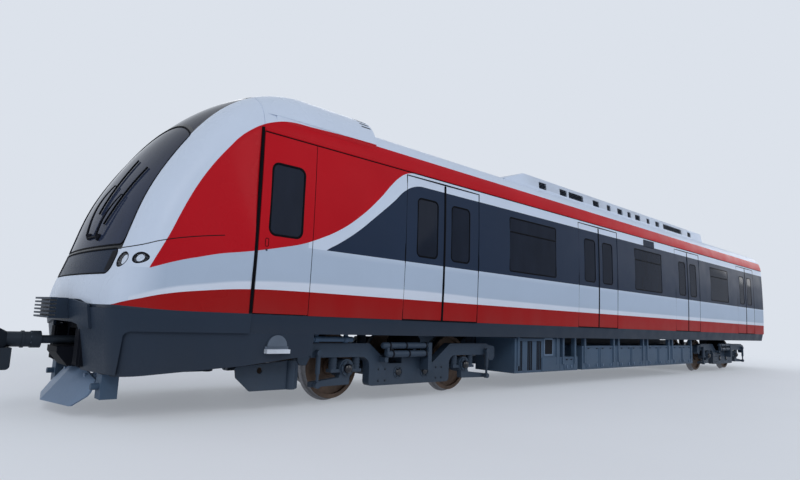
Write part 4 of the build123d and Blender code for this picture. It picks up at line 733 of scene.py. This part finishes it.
def nose_trim():
    """Thin rubber round the windscreen and the lower panel, and the lower panel's dark ends."""
    rubber = Build()
    panel = rounded_box(-0.95, 0.95, 1.4 + rail_top, 1.655 + rail_top, 0.08)
    for outline, width in ((windscreen_outline(), 0.02), (panel, 0.016)):
        rubber.strip([on_nose(y, z) for y, z in dense(outline)], width, 0.005, closed=True, sink=0.006)
    rubber.piece("windscreen_rubber", "rubber")
    ends = Build()
    across, heights = (0.83, 0.87, 0.91, 0.935), (1.455, 1.5, 1.55, 1.6, 1.66)
    n = len(across)
    for side in (1, -1):
        ends.add(nose_ring([(side * y, z) for z in heights for y in across], 0.0015),
                 [(r * n + c, r * n + c + 1, (r + 1) * n + c + 1, (r + 1) * n + c)
                  for r in range(len(heights) - 1) for c in range(n - 1)])
    ends.piece("lower_panel_ends", "black_plastic")


def wiper(foot, bend, tip, low, high, arms, blades):
    """A wiper: spindle cap, one tapered arm and a blade with its frame."""
    base, normal = on_nose(*foot)
    arms.turned(base, normal, [(-0.01, 0.04), (0.018, 0.038), (0.03, 0.026), (0.04, 0.012)], 20)
    path = []
    for k in range(13):
        t = k / 12
        y, z = ((1 - t) ** 2 * a + 2 * t * (1 - t) * b + t * t * c for a, b, c in zip(foot, bend, tip))
        path.append(on_nose(y, z, 0.036 + 0.014 * math.sin(math.pi * t))[0])
    arms.tube(path, [0.013 - 0.006 * k / 12 for k in range(13)])
    low = Vector(low)
    along = [on_nose(*low.lerp(high, k / 16), 0.004) for k in range(17)]
    blades.strip(along, 0.008, 0.013, sink=0.0)
    arms.strip([(p + n * 0.013, n) for p, n in along], 0.014, 0.006, sink=0.0)
    arms.tube([path[-1], on_nose(*low.lerp(high, 0.5), 0.02)[0]], 0.007, 8)


def wipers():
    """Two wipers, parked upright."""
    arms, blades = Build(), Build()
    # columns: foot, bend of the arm, its end, lower and upper end of the blade, each across by up
    for foot, bend, tip, low, high in (
            ((-0.04, 1.863), (-0.2, 2.2), (0.05, 2.46), (-0.04, 2.13), (0.15, 2.79)),
            ((0.295, 1.835), (0.28, 2.05), (0.47, 2.3), (0.3, 1.98), (0.64, 2.62))):
        wiper(foot, bend, tip, low, high, arms, blades)
    arms.tube(nose_ring([(y, 1.845) for y in (-0.04, 0.06, 0.18, 0.295)], 0.016), 0.012, 8)
    arms.piece("wiper_arms", "black_plastic")
    blades.piece("wiper_blades", "rubber")


# columns: distance from the middle, height over the floor, half width, half height, shift of the bowl
lamp_table = [(1.094, 1.565, 0.083, 0.078, 0.026), (1.27, 1.582, 0.055, 0.057, 0.0)]


def ellipse(y, z, wide, high):
    """Points of an upright ellipse, across by up."""
    return [(y + wide * math.cos(t), z + high * math.sin(t)) for t in around(32)]


def headlamps():
    """Lamps behind clear covers: dark housings, bright bowls, lenses and thin rims."""
    covers, housings, bowls, lenses = Build(), Build(), Build(), Build()
    for side in (1, -1):
        for y, z, wide, high, shift in lamp_table:
            y *= side
            bowl_y = y + side * shift
            normal = on_nose(y, z)[1]
            front = [nose_ring(ellipse(y, z, wide * k, high * k), -0.002)
                     for k in (0.995, 0.8, 0.55, 0.3, 0.05)]
            back = [[p - normal * 0.003 for p in ring] for ring in front]
            covers.rings(front[::-1] + back, closed=True)
            rim = [on_nose(py, pz, -0.004) for py, pz in ellipse(y, z, wide * 0.94, high * 0.94)]
            housings.strip(rim, 0.02, 0.005, closed=True)
            outer = nose_ring(ellipse(y, z, wide * 0.99, high * 0.99), -0.007)
            inner = nose_ring(ellipse(bowl_y, z, wide * 0.5, high * 0.62), -0.012)
            housings.rings([inner, outer, [p - normal * 0.024 for p in outer]])
            rings = []
            for share, depth in ((0.49, 0.0), (0.46, 0.012), (0.38, 0.02), (0.24, 0.025), (0.12, 0.027)):
                edge = nose_ring(ellipse(bowl_y, z, wide * share, high * share * 1.25), -0.0105)
                rings.append([p - normal * depth for p in edge])
            bowls.rings(rings)
            size = min(wide, high) * 0.42
            lenses.turned(on_nose(bowl_y, z)[0] - normal * 0.034, normal,
                          [(0.0, size), (0.006, size), (0.014, size * 0.8), (0.019, size * 0.45),
                           (0.0205, size * 0.1)], 20)
    cover = covers.piece("headlamp_covers", "lamp")
    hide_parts("headlamps")
    housings.piece("headlamp_housings", "black_plastic")
    bowls.piece("headlamp_bowls", "reflector_chrome", slot="lamp")
    lenses.piece("headlamp_lenses", "pale_lens", slot="lamp")


def bogie_details():
    """Hub domes, bolts, and bands on the dampers and the air pipes of both bogies."""
    hub_dome = [(-0.002, 0.062), (0.016, 0.061), (0.034, 0.052), (0.047, 0.036), (0.053, 0.014)]
    pivot_cap = [(-0.002, 0.045), (0.006, 0.045), (0.014, 0.038), (0.018, 0.01)]
    # columns: height over the floor, radius, places along the bogie
    banded = ((0.63, 0.045, (-0.13, 0.2, 0.5)), (0.741, 0.042, (-0.13, 0.26, 0.56)))
    for number, x in enumerate(bogie_xs, 1):
        domes, bolts, bands = Build(), Build(), Build()
        for side in (1, -1):
            out = left * side
            for dx in (half_wheelbase, -half_wheelbase):
                hub = Vector((x + dx, side * hub_y, axle_z))
                domes.turned(hub, out, hub_dome, 28)
                bolts.bolts(circle(hub, ahead, up, 0.08, 6, 30), out, 0.009)
            for dx in (0.26, -0.26):
                cap = Vector((x + dx, side * 1.148, 0.373))
                domes.turned(cap, out, pivot_cap)
                bolts.bolts(circle(cap, ahead, up, 0.064, 6), out, 0.008)
            for z, r, places in banded:
                for dx in places:
                    bands.turned((x + dx, side * damper_y, z), ahead,
                                 [(-0.014, r + 0.0005), (-0.012, r + 0.005), (0.012, r + 0.005),
                                  (0.014, r + 0.0005)])
            bolts.bolts([(x + dx, side * 1.14, z) for dx in (-0.62, -0.5, 0.5, 0.62) for z in (0.27, 0.42)],
                        out, 0.011)
        body = "bogie_%d" % number
        domes.piece("hub_domes_%d" % number, "gloss_black", body, slot="bogie_paint")
        bolts.piece("bogie_bolts_%d" % number, "coupler_steel", body)
        bands.piece("damper_bands_%d" % number, "black_plastic", body)


# Underfloor boxes behind the one with the grille: front end, length, top
box_table = [(1.84, 0.62, 0.528)] + [(1.05 - 1.395 * k, 1.38, 0.728) for k in range(4)]
grille_front, box_low, grille_top = 3.25, 0.278, 0.858


def box_details():
    """Dark plates and blocks as painted shade in the grille's openings, bars and a small display on the first
    box, and covers and latches on the others.
    """
    covers, dark, latches = Build(), Build(), Build()
    low, high, back = box_low, 0.812, box_outer_y - 0.002
    # Painted shade: thin dark plates at the back of the grille's slots.
    for k in range(4):
        x = grille_front - 0.11 - 0.165 * k
        dark.side_bars(x - 0.044, x + 0.044, 1.2205, 1.224, low + 0.061, grille_top - 0.061)
    # Painted shade: dark blocks where the grille's openings are, each crossed by two bars.
    for x0, x1 in ((3.04, 3.155), (2.745, 2.89), (2.465, 2.615)):
        dark.side_bars(x0, x1, 1.224, 1.253, low + 0.04, high, 0.001)
        for k in (1, 2):
            x = x0 + (x1 - x0) * k / 3
            covers.side_bars(x - 0.003, x + 0.003, 1.25, 1.256, low + 0.045, high - 0.005, 0.001)
    for x0, x1 in ((3.155, 3.19), (2.89, 3.04), (2.615, 2.745)):
        covers.side_bars(x0, x1, 1.224, 1.258, low + 0.04, high, 0.004)
    dark.side_bars(2.11, 2.35, back, 1.254, 0.585, 0.84)
    latches.face_strip(rounded_box(2.095, 2.365, 0.57, 0.855, 0.02, 4), 1.251, 0.03, 0.008, closed=True)
    covers.side_bars(1.9, 2.44, back, 1.262, low + 0.01, 0.53)
    for front, length, high in box_table:
        rear = front - length
        areas = [(rear + 0.14, front - 0.14)]
        if length > 1.0:
            areas = [(rear + 0.15, rear + 0.66), (rear + 0.72, front - 0.15)]
        for x0, x1 in areas:
            outline = rounded_box(x0, x1, low + 0.03, high - 0.03, 0.02, 4)
            covers.face_strip(outline, box_outer_y, 0.014, 0.008, closed=True)
            for x in (x0 + 0.09, x1 - 0.09):
                latches.side_bars(x - 0.014, x + 0.014, back, 1.264, low + 0.045, low + 0.1)
                dark.side_bars(x - 0.026, x + 0.026, back, 1.262, high - 0.058, high - 0.042)
    covers.piece("box_covers", "equipment_paint")
    dark.piece("box_dark_parts_and_painted_shade", "black_plastic")
    latches.piece("box_latches", "latch_paint", slot="equipment_paint")


def floor_ducts():
    """Cable ducts with their straps under the floor, and the ribs of the coupler's shroud."""
    ducts, ribs = Build(), Build()
    ducts.side_bars(-9.3, 8.6, 0.2, 0.4, 0.86, 0.986, 0.01)
    ducts.side_bars(-4.6, 3.3, 0.21, 0.39, 0.62, 0.87, 0.01)
    for k in range(12):
        x = -9.0 + 1.55 * k
        ducts.side_bars(x, x + 0.03, 0.194, 0.406, 0.853, 0.989, 0.004)
    for k in range(4):
        ribs.side_bars(9.56, 9.69, 0.42 + 0.035 * k, 0.44 + 0.035 * k, 0.5, 0.87, 0.006)
    ribs.side_bars(9.558, 9.668, 0.415, 0.555, 0.49, 0.86, 0.008)
    ducts.piece("cable_ducts", "dark_grey_paint")
    ribs.piece("coupler_shroud", "black_plastic")


# Vents of the roof fairing: middle, length
vent_table = [(2.32, 0.25), (1.6, 0.26), (1.12, 0.56), (0.32, 0.26), (-0.24, 0.16), (-0.76, 0.24),
              (-1.21, 0.16), (-1.64, 0.26), (-2.2, 0.16), (-2.72, 0.22), (-3.64, 1.15), (-4.73, 0.23)]


def side_hit(tree, x, z, side):
    """The point met by a level line from one side, and the outward normal."""
    point, normal, _, _ = tree.ray_cast(Vector((x, side * 2.0, z)), left * -side)
    return point, -normal if normal.y * side < 0 else normal


def roof_details():
    """Backs and slats in the roof vents, slots at the dome's rear, and cooling grilles on the fairing."""
    backs, slats, fans = Build(), Build(), Build()
    for middle, length in vent_table:
        x0, x1 = middle - length / 2 + 0.002, middle + length / 2 - 0.002
        backs.side_bars(x0, x1, 1.1195, 1.126, 3.595, 3.716, 0.001)
        for z in (3.62, 3.65, 3.68):
            slats.side_bars(x0, x1, 1.124, 1.158, z - 0.004, z + 0.004, 0.001)
    dome = surface_tree("cab_dome")
    for side in (1, -1):
        for k in range(5):
            slot = [side_hit(dome, x, 3.6 + 0.05 * k, side) for x in (6.63, 6.68, 6.73, 6.78)]
            backs.strip(slot, 0.024, 0.002)
    rim = 0.305
    for x in (-4.4, -3.2, -0.9, 0.3):
        for y in (-0.42, 0.42):
            top = Vector((x, y, fairing_top))
            fans.turned(top, up, [(-0.004, 0.3), (0.004, 0.3), (0.004, 0.02)], 40)
            centre = top + up * 0.01
            for r in (0.07, 0.13, 0.19, 0.25, rim):
                slats.tube(circle(centre, ahead, left, r, 40), 0.005, 6, closed=True)
            for reach in (ahead * rim, left * rim):
                slats.tube([centre + reach, centre - reach], 0.006, 6)
    backs.piece("vent_backs", "black_plastic")
    slats.piece("vent_slats", "dark_grey_paint")
    fans.piece("cooling_fans", "black_plastic")


def dome_foot():
    """Sealing strips between the dome's lower edge and the roof."""
    tree = surface_tree("cab_dome", "roof", "cab_mask")
    strip = Build()
    for side in (1, -1):
        out = left * side
        rings = []
        for k in range(29):
            x = 6.61 + (8.1 - 6.61) * k / 28
            low = side_hit(tree, x, 3.3, side)[0] + out * 0.0005
            high = side_hit(tree, x, 3.375, side)[0] + out * 0.001
            rings.append([low, (low + high) / 2 + out * 0.002, high, high - out * 0.02, low - out * 0.02])
        strip.rings(rings)
    strip.piece("dome_foot_strips", "mask_paint")


def end_details():
    """Bolts of the coupler's collar, and sockets and climbing steps on the rear wall."""
    steel, rear, sockets = Build(), Build(), Build()
    steel.bolts(circle(Vector((10.0, 0.0, coupler_z)), left, up, 0.083 * 0.86, 8, 22.5), ahead, 0.007)
    steel.piece("coupler_bolts", "bright_metal", "front_coupling", slot="coupler_steel")
    for side in (1, -1):
        for z in (1.3, 1.46, 1.62):
            socket = (rear_wall_x, side * 1.05, z)
            sockets.turned(socket, -ahead, [(-0.004, 0.056), (0.02, 0.056), (0.024, 0.05)])
            rear.turned(socket, -ahead, [(0.02, 0.046), (0.05, 0.044), (0.056, 0.036), (0.058, 0.01)])
        for z in (2.0, 2.35, 2.7, 3.05):
            step = ((-10.136, 1.0), (-10.19, 1.0), (-10.19, 1.26), (-10.136, 1.26))
            rear.tube([(x, side * y, z) for x, y in step], 0.011, 8)
        plate = [(-0.004, 0.07), (0.02, 0.07), (0.03, 0.06)]
        sockets.turned((rear_wall_x, side * 1.2, 1.3), -ahead, plate, 28)
    rear.piece("rear_wall_fittings", "black_plastic")
    sockets.piece("rear_wall_rims", "dark_grey_paint")


seat_pivot = Vector((8.14, 0.0, 1.56))
seat_x = 8.35


def seat_turn(tilt):
    """A turn by some degrees about the line where the seat meets its back."""
    return (Matrix.Translation(seat_pivot) @ Matrix.Rotation(math.radians(tilt), 4, "Y")
            @ Matrix.Translation(-seat_pivot))


def seat_block(name, low, high, tilt):
    """A rounded block for a cushion, tilted about the seat's pivot."""
    build = Build()
    build.block(low, high, ((0.0, 0.03), (0.012, 0.01), (0.035, 0.0)), 0.06, 5, seat_turn(tilt))
    return build.piece(name, "seat_cloth", smooth=60.0)


def settle(piece, cap):
    """Remesh a cushion, puff it up as cloth, hold back each point's move, and keep the result."""
    remesh = piece.modifiers.new("remesh", "REMESH")
    remesh.mode = "VOXEL"
    remesh.voxel_size = 0.006
    graph = bpy.context.evaluated_depsgraph_get()
    mesh = bpy.data.meshes.new_from_object(piece.evaluated_get(graph))
    piece.modifiers.clear()
    old = piece.data
    piece.data = mesh
    bpy.data.meshes.remove(old)
    mesh.name = piece.name
    start = [v.co.copy() for v in mesh.vertices]
    cloth = piece.modifiers.new("cloth", "CLOTH")
    cloth.settings.use_pressure = True
    cloth.settings.uniform_pressure_force = 4.0
    cloth.settings.effector_weights.gravity = 0.0
    cloth.point_cache.frame_start = 1
    cloth.point_cache.frame_end = 20
    for number in range(1, 21):
        scene.frame_set(number)
    graph = bpy.context.evaluated_depsgraph_get()
    moved = [v.co.copy() for v in piece.evaluated_get(graph).data.vertices]
    piece.modifiers.clear()
    for vertex, first, last in zip(mesh.vertices, start, moved):
        step = last - first
        vertex.co = first + step * min(1.0, cap / max(step.length, 1e-9))
    scene.frame_set(1)
    mesh.shade_smooth()


def driver_seat():
    """Padded seat, back and head rest on a sprung pedestal."""
    # columns: name, lower corner, upper corner, tilt in degrees, longest move of a point
    for name, low, high, tilt, cap in (
            ("driver_seat_cushion", (8.13, -0.215, 1.492), (8.57, 0.215, 1.575), 0.0, 0.009),
            ("driver_seat_back", (8.10, -0.205, 1.62), (8.175, 0.205, 2.13), -10.0, 0.01),
            ("driver_head_rest", (8.11, -0.12, 2.165), (8.17, 0.12, 2.3), -10.0, 0.007)):
        piece = seat_block(name, low, high, tilt)
        settle(piece, cap)
    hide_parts("driver_seat")
    shell = Build()
    shell.bar((8.1, -0.21, 1.46), (8.56, 0.21, 1.484), 0.01)
    turn = seat_turn(-10.0)
    shell.bar((8.075, -0.195, 1.56), (8.088, 0.195, 2.15), 0.005, turn)
    for y in (-0.06, 0.06):
        shell.tube([turn @ Vector((x, y, z)) for x, z in ((8.08, 2.1), (8.085, 2.22), (8.11, 2.24))], 0.008)
    shell.turned((seat_x, 0.0, floor_z + 0.001), up,
                 [(0.0, 0.2), (0.03, 0.198), (0.038, 0.185), (0.04, 0.09), (0.1, 0.08)], 36)
    folds = [(0.09 + 0.28 * k / 16, 0.105 if k % 2 else 0.085) for k in range(17)]
    shell.turned((seat_x, 0.0, floor_z), up, folds, 32)
    shell.piece("driver_seat_frame", "black_plastic")


def bellows():
    """Folded gangway bellows between the end wall and the end frame."""
    build = Build()
    folds, length, steps = 9, 0.32, 6
    count = folds * steps
    outer, inner = [], []
    for i in range(count + 1):
        x = body_rear - length * i / count
        wave = 0.5 - 0.5 * math.cos(2 * math.pi * i / steps)
        depth = 0.125 + 0.068 * wave ** 0.7
        for rings, grow, radius in ((outer, depth, 0.12 + depth / 2), (inner, 0.005 + 0.02 * wave, 0.12)):
            outline = rounded_box(-0.55 - grow, 0.55 + grow, 1.138 - grow, 3.028 + grow, radius, 8)
            rings.append([Vector((x, y, z)) for y, z in outline])
    build.rings(outer + inner[::-1], closed=True)
    piece = build.piece("gangway_folds", "bellows", smooth=70.0)
    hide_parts("gangway_bellows")


def studio_floor():
    """Pale floor that fades into the background."""
    size = 90.0
    mesh = bpy.data.meshes.new("floor")
    mesh.from_pydata([(-size, -size, 0), (size, -size, 0), (size, size, 0), (-size, size, 0)], [],
                     [(0, 1, 2, 3)])
    floor = bpy.data.objects.new("floor", mesh)
    scene.collection.objects.link(floor)
    s = Shader("floor_finish", 0.7, specular=0.15)
    s.done(s.vary(screen(226, 230, 236), s.noise(0.4), 0.985, 1.015))
    mesh.materials.append(s.material)
    centre = s.math("SQRT", s.math("ADD", s.math("MULTIPLY", s.x, s.x), s.math("MULTIPLY", s.y, s.y)))
    share = s.math("MULTIPLY", s.ramp(centre, 9.0, 21.0, 0.35), s.seen_ray())
    glow = s.node("Emission", {"Color": backdrop})
    fade = s.node("MixShader", {0: share, 1: s.bsdf.outputs[0], 2: glow})
    s.put(fade, s.tree.nodes["Material Output"].inputs["Surface"])


def facing(place, direction):
    """The matrix of a lamp or camera at a place that looks in a direction, held level."""
    return Matrix.Translation(place) @ direction.to_track_quat("-Z", "Y").to_matrix().to_4x4()


def studio_light():
    """The backdrop's even light and five soft lamps."""
    world = bpy.data.worlds.new("studio")
    scene.world = world
    world.use_nodes = True
    air = Nodes(world.node_tree)
    back = air.tree.nodes["Background"]
    air.put(air.ramp(air.seen_ray(), 0.0, 1.0, 0.6, 1.0), back.inputs["Strength"])
    back.inputs["Color"].default_value = backdrop

    # columns: name, place, aim, size, power
    for name, place, aim, width, power in (
            ("key", (17.0, 13.0, 11.0), (6.0, 0.0, 2.0), 9.0, 760.0),
            ("side", (-4.0, 16.0, 9.0), (-2.0, 0.0, 1.8), 14.0, 720.0),
            ("front", (22.0, -3.0, 5.0), (9.0, 0.0, 2.0), 7.0, 220.0),
            ("back", (-6.0, -16.0, 10.0), (-2.0, 0.0, 2.0), 14.0, 700.0),
            ("tail", (-22.0, 3.0, 7.0), (-9.0, 0.0, 2.0), 8.0, 420.0)):
        light = bpy.data.lights.new(name, "AREA")
        light.shape = "DISK"
        light.size = width
        light.energy = power
        lamp = bpy.data.objects.new(name, light)
        lamp.matrix_world = facing(place, Vector(aim) - Vector(place))
        lamp.visible_glossy = name != "front"  # its round image would show in the windscreen
        scene.collection.objects.link(lamp)


def photo_camera():
    """A camera where the photograph was taken, as solved from the car's straight edges."""
    data = bpy.data.cameras.new("camera")
    data.sensor_width = 36.0
    data.lens = 25.95
    data.clip_end = 400.0
    camera = bpy.data.objects.new("camera", data)
    roll = Matrix.Rotation(math.radians(2.407), 4, "Z")
    camera.matrix_world = facing((11.392, 7.031, 1.102), Vector((-0.677, -0.723, 0.135))) @ roll
    scene.collection.objects.link(camera)
    scene.camera = camera


gaskets()
cab_doors()
body_lines()
side_displays()
nose_trim()
wipers()
headlamps()
bogie_details()
floor_ducts()
box_details()
roof_details()
dome_foot()
end_details()
driver_seat()
bellows()
studio_floor()
studio_light()
photo_camera()
scene.view_settings.view_transform = "Standard"
